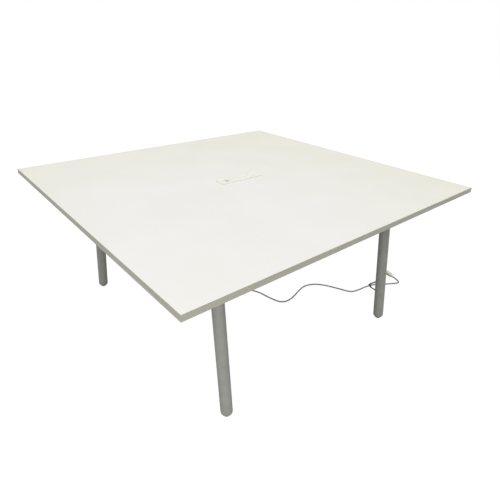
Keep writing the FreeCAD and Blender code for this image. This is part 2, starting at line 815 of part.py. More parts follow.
def make_face_plate():
    """Plate of the power module with its apertures and screw holes."""
    size = (plate_length, plate_width, face_plate_thickness)
    plate = rounded_block(size, insert_corner, 0, 0, plate_bottom)
    depth = face_plate_thickness + 2 * overrun
    bottom = plate_bottom - overrun
    gap = 2 * slip_clearance
    tools = []
    for index in range(outlet_count + 1):
        hole = (insert_size + gap, insert_size + gap, depth)
        tools.append(rounded_block(hole, insert_corner + slip_clearance, insert_x(index), 0, bottom))
    hole = (blank_length + gap, blank_width + gap, depth)
    tools.append(rounded_block(hole, insert_corner + slip_clearance, blank_x, 0, bottom))
    for side in (-1, 1):
        tools.append(upright(face_screw_diameter + gap, depth, side * face_screw_x(), 0, bottom))
    return plate.cut(Part.makeCompound(tools))


def make_face_screws():
    """Pan-head screws of the face plate."""
    screws = []
    for side in (-1, 1):
        x = side * face_screw_x()
        head = upright(face_screw_head_diameter, face_screw_head_height, x, 0, plate_top)
        shank = upright(face_screw_diameter, face_screw_length, x, 0, plate_top - face_screw_length)
        screws.append(head.fuse(shank).removeSplitter())
    return screws


def make_bezel():
    """Raised frame round the module, with a skirt down into the cut-out."""
    frame = rounded_block((bezel_length, bezel_width, bezel_rise), bezel_corner, 0, 0, table_height)
    top_edges = [edge for edge in frame.Edges
                 if min(vertex.Point.z for vertex in edge.Vertexes) > table_height + bezel_rise / 2]
    frame = frame.makeFillet(bezel_edge_round, top_edges)
    skirt_size = (housing_length, housing_width, bezel_skirt_depth)
    skirt = rounded_block(skirt_size, housing_corner, 0, 0, housing_top)
    window_size = (window_length, window_width, bezel_rise + bezel_skirt_depth + 2 * overrun)
    window = rounded_block(window_size, insert_corner + slip_clearance, 0, 0, housing_top - overrun)
    return frame.fuse(skirt).cut(window).removeSplitter()


def make_housing():
    """Deep box under the module, with a screw post at each end and a hole for the gland."""
    height = housing_top - housing_bottom
    size = (housing_length, housing_width, height)
    outer = rounded_block(size, housing_corner, 0, 0, housing_bottom)
    inner_length = housing_length - 2 * housing_wall
    inner_width = housing_width - 2 * housing_wall
    inner_size = (inner_length, inner_width, height)
    inner_corner = housing_corner - housing_wall
    inner = rounded_block(inner_size, inner_corner, 0, 0, housing_bottom + housing_wall)
    shell = outer.cut(inner)
    posts = []
    post_bottom = plate_bottom - screw_post_depth
    wall_middle = (inner_length + housing_wall) / 2
    neck_end = window_length / 2 - slip_clearance
    for side in (-1, 1):
        spans = ((wall_middle, post_bottom, housing_top), (neck_end, housing_top, plate_bottom))
        for reach, low, high in spans:
            size = (reach - post_face_x, screw_post_size, high - low)
            posts.append(block(size, side * (reach + post_face_x) / 2, 0, low))
    shell = shell.fuse(posts)
    tools = [upright(gland_neck_diameter + 2 * slip_clearance, housing_wall + 2 * overrun, gland_x, 0,
                     housing_bottom - overrun)]
    pilot = face_screw_length - face_plate_thickness + overrun
    for side in (-1, 1):
        tools.append(upright(face_screw_diameter + 2 * running_clearance, pilot, side * face_screw_x(), 0,
                             plate_bottom - pilot))
    return shell.cut(Part.makeCompound(tools)).removeSplitter()


def make_clamps():
    """Angle brackets on the ends of the housing and the screws that press them to the worktop."""
    brackets = []
    screws = []
    for side in (-1, 1):
        wall_x = side * housing_length / 2
        leaf_top = underside - clamp_gap
        leaf_bottom = leaf_top - clamp_thickness
        leaf_size = (clamp_reach, clamp_width, clamp_thickness)
        wall_size = (clamp_thickness, clamp_width, clamp_height)
        leaf = block(leaf_size, wall_x + side * clamp_reach / 2, 0, leaf_bottom)
        wall = block(wall_size, wall_x + side * clamp_thickness / 2, 0, leaf_top - clamp_height)
        screw_x = wall_x + side * (clamp_reach - clamp_screw_inset)
        hole = upright(clamp_screw_diameter + 2 * running_clearance, clamp_thickness + 2 * overrun,
                       screw_x, 0, leaf_bottom - overrun)
        brackets.append(leaf.fuse(wall).cut(hole).removeSplitter())
        pad_bottom = underside - clamp_pad_thickness
        head_bottom = leaf_bottom - clamp_gap - clamp_screw_head_height
        pad = upright(clamp_pad_diameter, clamp_pad_thickness, screw_x, 0, pad_bottom)
        shank = upright(clamp_screw_diameter, pad_bottom - head_bottom, screw_x, 0, head_bottom)
        head_start = Vector(screw_x, 0, head_bottom)
        head = hexagon_bar(clamp_screw_head_diameter, head_start,
                           head_start + Vector(0, 0, clamp_screw_head_height))
        screws.append(pad.fuse([shank, head]).removeSplitter())
    return brackets, screws


def make_bus_bars():
    """Three bars under the outlets that carry the power along the module."""
    start = insert_x(0)
    end = post_face_x - slip_clearance
    size = (end - start, bus_bar_width, bus_bar_thickness)
    return [block(size, (start + end) / 2, index * bus_bar_spacing, insert_bottom - bus_bar_thickness)
            for index in (-1, 0, 1)]


def terminal_block_bottom():
    """Underside of the terminal block, which hangs from the bus bars."""
    return insert_bottom - bus_bar_thickness - terminal_block_height


def make_terminal_block():
    """Block where the cord's conductors meet the bus bars, with its three clamp recesses."""
    size = (terminal_block_length, terminal_block_width, terminal_block_height)
    shape = block(size, terminal_x, 0, terminal_block_bottom())
    recess = (terminal_block_length / 2, bus_bar_width, terminal_block_height / 4)
    for index in (-1, 0, 1):
        edge_x = terminal_x - terminal_block_length / 2
        shape = shape.cut(block(recess, edge_x, index * bus_bar_spacing,
                                terminal_block_bottom() + terminal_block_height / 2))
    return shape


def gland_top():
    """Top of the gland inside the housing."""
    return housing_bottom + housing_wall + gland_neck_length


def make_conductors():
    """The cord's three conductors between the gland and the terminal block."""
    height = terminal_block_bottom() - gland_top()
    spread = gland_neck_diameter / 2 - conductor_diameter
    return [upright(conductor_diameter, height, gland_x, index * spread, gland_top()) for index in (-1, 0, 1)]


def make_gland():
    """Cord gland: neck through the housing, hexagon against it and a ribbed tapered sleeve."""
    neck = upright(gland_neck_diameter, gland_top() - housing_bottom + overrun, gland_x, 0,
                   housing_bottom - overrun)
    hex_top = Vector(gland_x, 0, housing_bottom)
    nut = hexagon_bar(gland_hex_width, hex_top - Vector(0, 0, gland_hex_height), hex_top)
    sleeve_length = gland_length - gland_hex_height
    sleeve = Part.makeCone(gland_end_diameter / 2, gland_neck_diameter / 2, sleeve_length,
                           Vector(gland_x, 0, housing_bottom - gland_length))
    return neck.fuse([nut, sleeve]).removeSplitter()


def cord_points():
    """The route as vectors, its first run straight down from the end of the gland."""
    points = [Vector(x, y, z) for x, y, z in cord_route]
    points[0] = Vector(gland_x, 0, housing_bottom - gland_length)
    points[1] = Vector(gland_x, 0, points[1].z)
    return points


def make_cord():
    """Cord tube: straight runs joined by tangent arcs. Prints its radii and its length."""
    points = cord_points()
    edges = []
    radii = []
    start = points[0]
    for before, corner, after in zip(points, points[1:], points[2:]):
        way_in = corner - before
        way_out = after - corner
        reach = cord_arc_share * min(way_in.Length, way_out.Length)
        turn = way_in.getAngle(way_out)
        radius = reach / math.tan(turn / 2)
        radii.append(round(radius, 1))
        arc_start = corner - way_in.normalize() * reach
        arc_end = corner + way_out.normalize() * reach
        to_centre = (way_out - way_in).normalize()
        middle = corner + to_centre * (radius / math.cos(turn / 2) - radius)
        edges.append(Part.LineSegment(start, arc_start).toShape())
        edges.append(Part.Arc(arc_start, middle, arc_end).toShape())
        start = arc_end
    edges.append(Part.LineSegment(start, points[-1]).toShape())
    path = Part.Wire(edges)
    first_way = points[1] - points[0]
    profile = Part.Wire(Part.makeCircle(cord_diameter / 2, points[0], first_way))
    tube = path.makePipeShell([profile], True, False)
    section = math.pi * cord_diameter ** 2 / 4
    print("cord radii", radii)
    print("cord length", round(path.Length, 1), "volume share", round(tube.Volume / section / path.Length, 4))
    return tube


def heading(way):
    """Angle of a level direction, in degrees from +X."""
    return math.degrees(math.atan2(way.y, way.x))


def make_tie():
    """Strap tie round the cord, with its two loose tails on the floor."""
    points = cord_points()
    start, end = points[runs_before_tie_count:runs_before_tie_count + 2]
    middle = (start + end) / 2
    way = end - start
    inner = cord_diameter + 2 * slip_clearance
    outer = inner + 2 * tie_thickness
    half = Vector(tie_width / 2, 0, 0)
    ring = rod(outer, Vector(0, 0, 0) - half, half)
    ring = ring.cut(rod(inner, Vector(0, 0, 0) - half * 2, half * 2))
    floor = -middle.z
    cross_size = (tie_width, outer + tie_width, tie_thickness)
    cross = block(cross_size, 0, 0, floor)
    tails = []
    long_end = (1, tie_long_tail_length, tie_long_tail_turn)
    short_end = (-1, tie_short_tail_length, tie_short_tail_turn)
    for side, length, turn in (long_end, short_end):
        strip = block((length, tie_tail_width, tie_thickness), (length - tie_tail_width) / 2, 0, floor)
        strip.rotate(Vector(0, 0, 0), Vector(0, 0, 1), side * turn)
        strip.translate(Vector(0, side * (outer / 2 + tie_width / 4), 0))
        tails.append(strip)
    tie = ring.fuse([cross] + tails).removeSplitter()
    tie.rotate(Vector(0, 0, 0), Vector(0, 0, 1), heading(way))
    tie.translate(middle)
    return tie


def place_at_cord_end(shape):
    """Moves a piece drawn along +X from the origin to the end of the cord."""
    points = cord_points()
    shape.rotate(Vector(0, 0, 0), Vector(0, 0, 1), heading(points[-1] - points[-2]))
    shape.translate(points[-1])
    return shape


def make_plug():
    """Moulded plug: tapered strain relief, shoulder and a grip that widens to its face."""
    strain = Part.makeCone(plug_strain_start_diameter / 2, plug_strain_end_diameter / 2, plug_strain_length,
                           Vector(0, 0, 0), Vector(1, 0, 0))
    relief = plug_strain_end_diameter
    sections = [
        rounded_face(relief, relief, relief / 4, 0, 0, 0),
        rounded_face(plug_grip_height, plug_grip_width, plug_body_round, 0, 0, plug_shoulder),
        rounded_face(plug_body_height, plug_body_width, plug_body_round, 0, 0, plug_body_length),
    ]
    body = Part.makeLoft([section.OuterWire for section in sections], True, True)
    body.rotate(Vector(0, 0, 0), Vector(0, 1, 0), 90)
    body.translate(Vector(plug_strain_length, 0, 0))
    return place_at_cord_end(strain.fuse(body).removeSplitter())


def make_plug_blades():
    """Two flat blades and the round earth pin."""
    start = plug_strain_length + plug_body_length
    pieces = []
    for side in (-1, 1):
        size = (plug_blade_length, plug_blade_thickness, plug_blade_width)
        pieces.append(block(size, start + plug_blade_length / 2, side * blade_slot_spacing / 2,
                            plug_blade_offset - plug_blade_width / 2))
    pin_start = Vector(start, 0, -plug_pin_offset + plug_pin_diameter / 2)
    pieces.append(rod(plug_pin_diameter, pin_start, pin_start + Vector(plug_pin_length, 0, 0)))
    return [place_at_cord_end(piece) for piece in pieces]


def make_nodes():
    """Every named piece of the table."""
    group = Part.makeCompound
    nodes = make_worktop()
    nodes["module_bezel"] = make_bezel()
    nodes["module_face_plate"] = make_face_plate()
    for index in range(outlet_count):
        nodes["outlet_%d" % (index + 1)] = make_outlet(insert_x(index + 1))
    nodes["usb_charger"] = make_usb_charger()
    nodes["usb_circuit_board"] = make_usb_board()
    nodes["data_blank"] = make_data_blank()
    nodes["module_housing"] = make_housing()
    brackets, clamp_screws = make_clamps()
    nodes["module_clamps"] = group(brackets)
    nodes["module_clamp_screws"] = group(clamp_screws)
    nodes["face_plate_screws"] = group(make_face_screws())
    nodes["bus_bars"] = group(make_bus_bars())
    nodes["terminal_block"] = make_terminal_block()
    nodes["lead_conductors"] = group(make_conductors())
    nodes["cord_gland"] = make_gland()
    rail = make_side_rail()
    nodes["side_rail_right"] = rail
    nodes["side_rail_left"] = to_corner(rail, -1, 1)
    beam = make_cross_beam()
    nodes["cross_beam_back"] = beam
    nodes["cross_beam_front"] = to_corner(beam, 1, -1)
    nodes["beam_end_plates"] = group(make_end_plates())
    bolts, nuts = make_beam_fasteners()
    nodes["beam_bolts"] = group(bolts)
    nodes["rivet_nuts"] = group(nuts)
    nodes["socket_bolts"] = group(make_socket_bolts())
    nodes["top_fixing_tabs"] = group(make_top_tabs())
    nodes["top_screws"] = group(make_top_screws())
    leg_screws = []
    for screw in make_leg_screws():
        leg_screws += at_corners(screw)
    nodes["leg_screws"] = group(leg_screws)
    corner_pieces = {
        "leg_socket": make_leg_socket(), "leg_tube": make_leg_tube(), "foot_cap": make_foot_cap(),
        "glide_pad": make_glide_pad(), "glide_stud": make_glide_stud(),
    }
    for corner, side_x, side_y in corner_signs:
        for name, shape in corner_pieces.items():
            nodes[name + "_" + corner] = to_corner(shape, side_x, side_y)
    nodes["power_cord"] = make_cord()
    nodes["plug_body"] = make_plug()
    nodes["plug_blades"] = group(make_plug_blades())
    nodes["cord_tie"] = make_tie()
    return nodes


os.makedirs("parts", exist_ok=True)
for node_name, node_shape in make_nodes().items():
    if not node_shape.isValid():
        print("not valid:", node_name)
    node_shape.exportStep("parts/" + node_name + ".step")
    print(node_name, len(node_shape.Solids), round(node_shape.Volume))
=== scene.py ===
import json
import math

import bmesh
import bpy
from mathutils import Matrix, Vector
from mathutils.geometry import interpolate_bezier


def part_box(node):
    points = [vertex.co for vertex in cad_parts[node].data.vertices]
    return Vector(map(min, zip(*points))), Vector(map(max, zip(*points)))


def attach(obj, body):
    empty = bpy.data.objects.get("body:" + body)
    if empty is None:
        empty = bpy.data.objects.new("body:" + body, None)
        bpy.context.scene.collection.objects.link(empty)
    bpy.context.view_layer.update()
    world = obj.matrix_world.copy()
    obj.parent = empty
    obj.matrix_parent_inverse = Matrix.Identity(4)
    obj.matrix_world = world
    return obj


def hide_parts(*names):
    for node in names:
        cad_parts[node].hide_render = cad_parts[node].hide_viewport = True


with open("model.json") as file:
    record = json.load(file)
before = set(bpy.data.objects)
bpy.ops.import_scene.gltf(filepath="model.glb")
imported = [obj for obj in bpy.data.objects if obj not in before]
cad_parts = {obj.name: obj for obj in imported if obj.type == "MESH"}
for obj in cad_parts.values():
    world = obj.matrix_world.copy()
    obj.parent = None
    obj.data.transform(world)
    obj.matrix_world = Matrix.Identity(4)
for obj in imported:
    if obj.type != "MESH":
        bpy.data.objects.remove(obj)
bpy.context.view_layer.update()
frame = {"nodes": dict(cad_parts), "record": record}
nodes = frame["nodes"]
corners = ("front_left", "front_right", "back_left", "back_right")
full_turn = 2 * math.pi

# Camera: its place and aim, in metres, and the roll and lens that bring the corners and the feet
# of the table onto the same pixels as in the photograph
camera_place = Vector((-1.29025, -1.49434, 1.39217))
camera_aim = Vector((0.40780, 0.58105, 0.0))
camera_roll = -0.02487
picture_side = 500
focal_pixels = 412.155
axis_pixel_x = 226.705
axis_pixel_y = 243.656
sensor_width = 36.0
camera_reach = 100.0


def add_object(name, data):
    """Object of the scene that shows some data."""
    thing = bpy.data.objects.new(name, data)
    bpy.context.scene.collection.objects.link(thing)
    return thing


def make_camera():
    """Camera of the photograph. Its shift puts the lens axis on its own pixel."""
    away = (camera_aim - camera_place).normalized()
    level = away.cross(Vector((0, 0, 1))).normalized()
    down = away.cross(level)
    right = level * math.cos(camera_roll) + down * math.sin(camera_roll)
    up = level * math.sin(camera_roll) - down * math.cos(camera_roll)
    data = bpy.data.cameras.new("camera")
    data.sensor_width = sensor_width
    data.lens = sensor_width * focal_pixels / picture_side
    data.shift_x = (picture_side / 2 - axis_pixel_x) / picture_side
    data.shift_y = (axis_pixel_y - picture_side / 2) / picture_side
    data.clip_end = camera_reach
    camera = add_object("camera", data)
    turn = Matrix((right, up, -away)).transposed().to_4x4()
    camera.matrix_world = Matrix.Translation(camera_place) @ turn
    bpy.context.scene.camera = camera


make_camera()
bpy.context.scene.view_settings.view_transform = "Standard"

# Shared helpers. Sizes of pieces and patterns are in millimetres, and mm turns them to metres.
mm = 0.001

# Noise keeps near its middle, so this stretch of it is spread over the whole range
drift_range = {"From Min": 0.35, "From Max": 0.65}


def linear(hex_colour):
    """Linear RGBA of an sRGB hex colour."""
    channels = [int(hex_colour[start:start + 2], 16) / 255 for start in (0, 2, 4)]
    return [c / 12.92 if c <= 0.04045 else ((c + 0.055) / 1.055) ** 2.4 for c in channels] + [1.0]


def add(material, kind, settings=None, links=None):
    """Adds one shader node to a material or a world, with its settings and its links."""
    tree = material.node_tree
    node = tree.nodes.new("ShaderNode" + kind)
    for key, value in (settings or {}).items():
        if isinstance(key, int) or key in node.inputs:
            node.inputs[key].default_value = value
        else:
            setattr(node, key, value)
    for key, (source, output) in (links or {}).items():
        tree.links.new(source.outputs[output], node.inputs[key])
    return node


def empty_material(name):
    """Material with no nodes yet."""
    material = bpy.data.materials.new(name)
    material.use_nodes = True
    material.node_tree.nodes.clear()
    return material


def scale_of(size, stretch=(1, 1, 1)):
    """Mapping scale of a pattern from the real size of its parts, drawn out by a share along each axis."""
    return [1 / (size * mm * share) for share in stretch]


def surface(name, shades, rough, tone_size, grain_size, depth, stretch=(1, 1, 1), settings=None,
            painted_underside=None):
    """Finish of two close shades that drift over tone_size, with an uneven gloss and a grain of a size
    and a depth. The optional underside shade is a colour painted as shade on the lower side, the height
    up to which it covers all, and the height where it ends."""
    material = empty_material(name)
    place = add(material, "TexCoord")
    tone_place = add(material, "Mapping", {"Scale": scale_of(tone_size, stretch)},
                     {"Vector": (place, "Object")})
    tone = add(material, "TexNoise", {"Scale": 1.0, "Detail": 4.0}, {"Vector": (tone_place, "Vector")})
    drift = add(material, "MapRange", drift_range, {"Value": (tone, "Fac")})
    shade = add(material, "MixRGB", {"Color1": linear(shades[0]), "Color2": linear(shades[1])},
                {"Fac": (drift, "Result")})
    # Painted shade: the lower side is darkened towards the floor
    if painted_underside:
        underside_shade, full, end = painted_underside
        split = add(material, "SeparateXYZ", {}, {"Vector": (place, "Object")})
        cover = add(material, "MapRange", {"From Min": end * mm, "From Max": full * mm},
                    {"Value": (split, "Z")})
        shade = add(material, "MixRGB", {"Color2": linear(underside_shade)},
                    {"Fac": (cover, "Result"), "Color1": (shade, "Color")})
    gloss = add(material, "MapRange", {"To Min": rough[0], "To Max": rough[1]}, {"Value": (drift, "Result")})
    grain_place = add(material, "Mapping", {"Scale": scale_of(grain_size, stretch)},
                      {"Vector": (place, "Object")})
    grain = add(material, "TexNoise", {"Scale": 1.0, "Detail": 1.0}, {"Vector": (grain_place, "Vector")})
    relief = add(material, "Bump", {"Distance": depth * mm}, {"Height": (grain, "Fac")})
    shader = add(material, "BsdfPrincipled", settings,
                 {"Base Color": (shade, "Color"), "Roughness": (gloss, "Result"),
                  "Normal": (relief, "Normal")})
    add(material, "OutputMaterial", {}, {"Surface": (shader, "BSDF")})
    return material


# Powder coat of the frame
paint_shades = ("8E8F88", "888982")
paint_cloud = 45.45
peel_size = 2.5
peel_depth = 0.03
scuff_shade = "6E6F68"
scuff_size = 6.25
scuff_stretch = (1, 1, 8 / 3)
scuff_heights = (10.0, 60.0)


def powder_coat():
    """Polyester powder coat, sprayed on steel and baked: satin mid grey with orange peel. Near the
    floor it has dull scuffs from shoes and chair feet."""
    material = empty_material("satin_powder_coat")
    place = add(material, "TexCoord")
    cloud = add(material, "TexNoise", {"Scale": 1 / (paint_cloud * mm), "Detail": 4.0},
                {"Vector": (place, "Object")})
    drift = add(material, "MapRange", drift_range, {"Value": (cloud, "Fac")})
    paint = add(material, "MixRGB", {"Color1": linear(paint_shades[0]), "Color2": linear(paint_shades[1])},
                {"Fac": (drift, "Result")})
    rubbed = add(material, "Mapping", {"Scale": scale_of(scuff_size, scuff_stretch)},
                 {"Vector": (place, "Object")})
    streak = add(material, "TexNoise", {"Scale": 1.0, "Detail": 6.0}, {"Vector": (rubbed, "Vector")})
    split = add(material, "SeparateXYZ", {}, {"Vector": (place, "Object")})
    full, end = scuff_heights
    low = add(material, "MapRange", {"From Min": end * mm, "From Max": full * mm}, {"Value": (split, "Z")})
    worn = add(material, "MapRange", {"From Min": 0.58, "From Max": 0.7}, {"Value": (streak, "Fac")})
    amount = add(material, "Math", {"operation": "MULTIPLY"}, {0: (low, "Result"), 1: (worn, "Result")})
    scuffed = add(material, "MixRGB", {"Color2": linear(scuff_shade)},
                  {"Fac": (amount, "Value"), "Color1": (paint, "Color")})
    gloss = add(material, "MapRange", {"To Min": 0.5, "To Max": 0.6}, {"Value": (streak, "Fac")})
    peel = add(material, "TexNoise", {"Scale": 1 / (peel_size * mm), "Detail": 0.0},
               {"Vector": (place, "Object")})
    relief = add(material, "Bump", {"Distance": peel_depth * mm}, {"Height": (peel, "Fac")})
    shader = add(material, "BsdfPrincipled", {"IOR": 1.45, "Specular IOR Level": 0.2},
                 {"Base Color": (scuffed, "Color"), "Roughness": (gloss, "Result"),
                  "Normal": (relief, "Normal")})
    add(material, "OutputMaterial", {}, {"Surface": (shader, "BSDF")})
    return material


# Particleboard of the worktop's core
chip_shades = ("CDB086", "97774C")
chip_size = 3.03
chip_stretch = (1, 1, 0.5)
chip_depth = 0.4


def particleboard():
    """Raw particleboard, pressed and sawn: pale chips that lie flat in a darker glue."""
    material = empty_material("particleboard")
    place = add(material, "TexCoord")
    chip_place = add(material, "Mapping", {"Scale": scale_of(chip_size, chip_stretch)},
                     {"Vector": (place, "Object")})
    chips = add(material, "TexVoronoi", {"Scale": 1.0}, {"Vector": (chip_place, "Vector")})
    tint = add(material, "SeparateColor", {}, {"Color": (chips, "Color")})
    shade = add(material, "MixRGB", {"Color1": linear(chip_shades[0]), "Color2": linear(chip_shades[1])},
                {"Fac": (tint, "Red")})
    relief = add(material, "Bump", {"Distance": chip_depth * mm}, {"Height": (chips, "Distance")})
    shader = add(material, "BsdfPrincipled", {"Roughness": 0.85},
                 {"Base Color": (shade, "Color"), "Normal": (relief, "Normal")})
    add(material, "OutputMaterial", {}, {"Surface": (shader, "BSDF")})
    return material


# Hook-and-loop strap of the cord
nylon_shades = ("131315", "212124")
nylon_cloud = 6.25
loop_spacing = 0.8
loop_depth = 0.3


def hook_and_loop():
    """Hook-and-loop nylon, woven: black fuzz of small loops, with the soft bloom of fibres at its edges."""
    material = empty_material("hook_and_loop_nylon")
    place = add(material, "TexCoord")
    cloud = add(material, "TexNoise", {"Scale": 1 / (nylon_cloud * mm)}, {"Vector": (place, "Object")})
    shade = add(material, "MixRGB", {"Color1": linear(nylon_shades[0]), "Color2": linear(nylon_shades[1])},
                {"Fac": (cloud, "Fac")})
    loops = add(material, "TexVoronoi", {"Scale": 1 / (loop_spacing * mm)}, {"Vector": (place, "Object")})
    relief = add(material, "Bump", {"Distance": loop_depth * mm}, {"Height": (loops, "Distance")})
    shader = add(material, "BsdfPrincipled", {"Roughness": 0.9, "Sheen Weight": 0.3},
                 {"Base Color": (shade, "Color"), "Normal": (relief, "Normal")})
    add(material, "OutputMaterial", {}, {"Surface": (shader, "BSDF")})
    return material


# Laminate of the worktop. Its painted light fall-off, a warm tint that dims it, starts and ends at a
# distance in metres from the middle of its painted pool of light, and its painted seam shadow starts at the
# bezel's rounded outline.
laminate_shades = ("F1F0EC", "EFEEE9")
wiped_patch = 250.0
# Painted light: a warm tint that dims the top with distance from one bright place
falloff_tint = "FCFBF3"
light_pool_centre = Vector((-0.4, -0.35, 0.74))
light_falloff_reach = (0.45, 1.2)
# Painted shadow: a grey band on the top round the bezel's outline
seam_shadow_shade = "A0A097"
seam_shadow_share = 0.9
seam_shadow_width = 6.0
bezel_corner = 4.0
pebble_size = 1.5
pebble_depth = 0.02


def seam_distance(material, place):
    """Distance of a point of the worktop from the bezel's outline less its corner, as a node."""
    low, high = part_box("module_bezel")
    half = ((high.x - low.x) / 2 - bezel_corner * mm, (high.y - low.y) / 2 - bezel_corner * mm, 1.0)
    shifted = add(material, "Mapping", {"Location": -(low + high) / 2}, {"Vector": (place, "Object")})
    folded = add(material, "VectorMath", {"operation": "ABSOLUTE"}, {0: (shifted, "Vector")})
    past = add(material, "VectorMath", {"operation": "SUBTRACT", 1: half}, {0: (folded, "Vector")})
    outside = add(material, "VectorMath", {"operation": "MAXIMUM", 1: (0, 0, 0)}, {0: (past, "Vector")})
    return add(material, "VectorMath", {"operation": "LENGTH"}, {0: (outside, "Vector")})


def laminate():
    """Melamine laminate, pressed against a suede plate: an even white with a soft sheen and faint wiped
    patches. Its 0.4 mm pebble is drawn coarser, so that it shows close by. It is painted with a pool of
    light: palest round one place, dimmer and warmer further away. A painted shadow darkens the seam round
    the module's bezel."""
    material = empty_material("pressed_melamine_laminate")
    place = add(material, "TexCoord")
    cloud = add(material, "TexNoise", {"Scale": 1 / (wiped_patch * mm), "Detail": 4.0},
                {"Vector": (place, "Object")})
    drift = add(material, "MapRange", drift_range, {"Value": (cloud, "Fac")})
    shades = [linear(shade) for shade in laminate_shades]
    clean = add(material, "MixRGB", {"Color1": shades[0], "Color2": shades[1]},
                {"Fac": (drift, "Result")})
    # Painted light: palest round one place, dimmed by a warm tint further away
    away = add(material, "VectorMath", {"operation": "DISTANCE", 1: light_pool_centre}, {0: (place, "Object")})
    falloff_share = add(material, "MapRange", {"From Min": light_falloff_reach[0], "From Max": light_falloff_reach[1]},
              {"Value": (away, "Value")})
    falloff_shade = add(material, "MixRGB", {"blend_type": "MULTIPLY", "Color2": linear(falloff_tint)},
               {"Fac": (falloff_share, "Result"), "Color1": (clean, "Color")})
    # Painted shadow: a grey band round the bezel, darkest where it meets the bezel
    seam = seam_distance(material, place)
    seam_shadow_end = (bezel_corner + seam_shadow_width) * mm
    seam_shadow = add(material, "MapRange",
               {"From Min": seam_shadow_end, "From Max": bezel_corner * mm, "To Max": seam_shadow_share},
               {"Value": (seam, "Value")})
    shade = add(material, "MixRGB", {"Color2": linear(seam_shadow_shade)},
                {"Fac": (seam_shadow, "Result"), "Color1": (falloff_shade, "Color")})
    gloss = add(material, "MapRange", {"To Min": 0.6, "To Max": 0.68}, {"Value": (drift, "Result")})
    pebble = add(material, "TexNoise", {"Scale": 1 / (pebble_size * mm), "Detail": 1.0},
                 {"Vector": (place, "Object")})
    relief = add(material, "Bump", {"Distance": pebble_depth * mm}, {"Height": (pebble, "Fac")})
    shader = add(material, "BsdfPrincipled", {"IOR": 1.45},
                 {"Base Color": (shade, "Color"), "Roughness": (gloss, "Result"),
                  "Normal": (relief, "Normal")})
    add(material, "OutputMaterial", {}, {"Surface": (shader, "BSDF")})
    return material


# ABS edge band, extruded: matt grey-beige with fine drawn lines along the band
band_finish = (("9E9D91", "999889"), (0.45, 0.58), 6.0, 0.8, 0.03)
line_stretch = 30

materials = {
    "white_laminate": laminate(),
    "edge_band_long": surface("extruded_abs_band_long", *band_finish, stretch=(line_stretch, 1, 1)),
    "edge_band_short": surface("extruded_abs_band_short", *band_finish, stretch=(1, line_stretch, 1)),
    "grey_paint": powder_coat(),
    "particleboard": particleboard(),
    "tie_black": hook_and_loop(),
    # Phenolic backing sheet, sanded: dull grey-brown paper and resin with a fine scratch.
    "backing_laminate": surface("sanded_phenolic_sheet", ("B9B4A8", "ACA79B"), (0.6, 0.7), 60.0, 1.2, 0.03,
                                stretch=(4, 1, 1)),
    # ABS of the power module, moulded: warm white that has yellowed a little, spark-eroded grain.
    "module_white": surface("moulded_abs", ("F3F1E7", "EEECDF"), (0.36, 0.46), 25.0, 0.8, 0.015),
    # Polycarbonate of the charger, moulded: one shade deeper than the module round it.
    "charger_grey": surface("moulded_polycarbonate", ("E6E4D6", "DEDCCC"), (0.34, 0.44), 20.0, 0.8, 0.015,
                            settings={"IOR": 1.58}),
    # Flame-retardant ABS of the housing, moulded: dull mid grey with a coarse grain.
    "housing_grey": surface("flame_retardant_abs", ("8E8F8A", "858682"), (0.5, 0.6), 30.0, 0.9, 0.03),
    # PVC jacket of the cord, extruded: mid grey, softly shiny and faintly wavy along its length.
    "cord_grey": surface("extruded_pvc_jacket", ("7E7E7A", "757571"), (0.38, 0.48), 14.0, 2.0, 0.03),
    # PVC of the plug, moulded: satin cream, with painted shade that turns its lower side olive near the
    # floor.
    "plug_cream": surface("moulded_pvc", ("E6E4D4", "DCDAC8"), (0.36, 0.46), 12.0, 0.7, 0.02,
                          painted_underside=("6F6E52", 6.0, 16.0)),
    # Nylon of the glide pads, glass filled and moulded: black and slightly mottled.
    "black_nylon": surface("glass_filled_nylon", ("191919", "242424"), (0.5, 0.65), 3.0, 0.6, 0.02),
    # Insulation of the conductors, extruded: black with a dull shine.
    "conductor_black": surface("extruded_wire_insulation", ("161616", "202020"), (0.35, 0.45), 3.0,
                               0.5, 0.01),
    # Solder mask on the charger's board, printed: deep green and glossy.
    "circuit_green": surface("solder_mask", ("1E5A3A", "174A2F"), (0.2, 0.3), 4.0, 0.6, 0.01),
    # Steel fasteners, zinc plated and tumbled: bright blue-grey with fine blotches.
    "zinc_steel": surface("zinc_plated_steel", ("CBCDCE", "AFB3B6"), (0.28, 0.42), 4.0, 0.5, 0.01,
                          settings={"Metallic": 1.0}),
    # Screws of the face plate, enamelled to match it: white and glossy.
    "screw_white": surface("enamelled_steel", ("E9E7DC", "E1DFD2"), (0.25, 0.35), 3.0, 0.5, 0.01),
    # Brass contacts and blades, stamped: warm yellow metal, drawn and slightly dull.
    "brass": surface("stamped_brass", ("DBBE7A", "C5A563"), (0.22, 0.36), 3.0, 0.4, 0.005,
                     settings={"Metallic": 1.0}),
}


def dress_nodes():
    """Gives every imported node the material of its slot, and each edge band the one of its direction."""
    for row in frame["record"]["subparts"]:
        name = row["node"]
        slot_name = row["material_slot"]
        if slot_name == "edge_band_grey":
            runs_long = name in ("edge_band_front", "edge_band_back")
            slot_name = "edge_band_long" if runs_long else "edge_band_short"
        mesh = nodes[name].data
        mesh.materials.clear()
        mesh.materials.append(materials[slot_name])


dress_nodes()

# Shape helpers. Points of a piece that are nearer than merge_gap become one.
ring_steps = 24
merge_gap = 0.005
smooth_angle = 35


def between(start, end, share):
    """Value at a share of the way from a start to an end."""
    return start + (end - start) * share


def placed(place, axis, side):
    """Matrix at a place whose Z runs along an axis, with its X as near a side as it can be."""
    z = Vector(axis).normalized()
    y = z.cross(Vector(side)).normalized()
    return Matrix.Translation(place) @ Matrix((y.cross(z), y, z)).transposed().to_4x4()


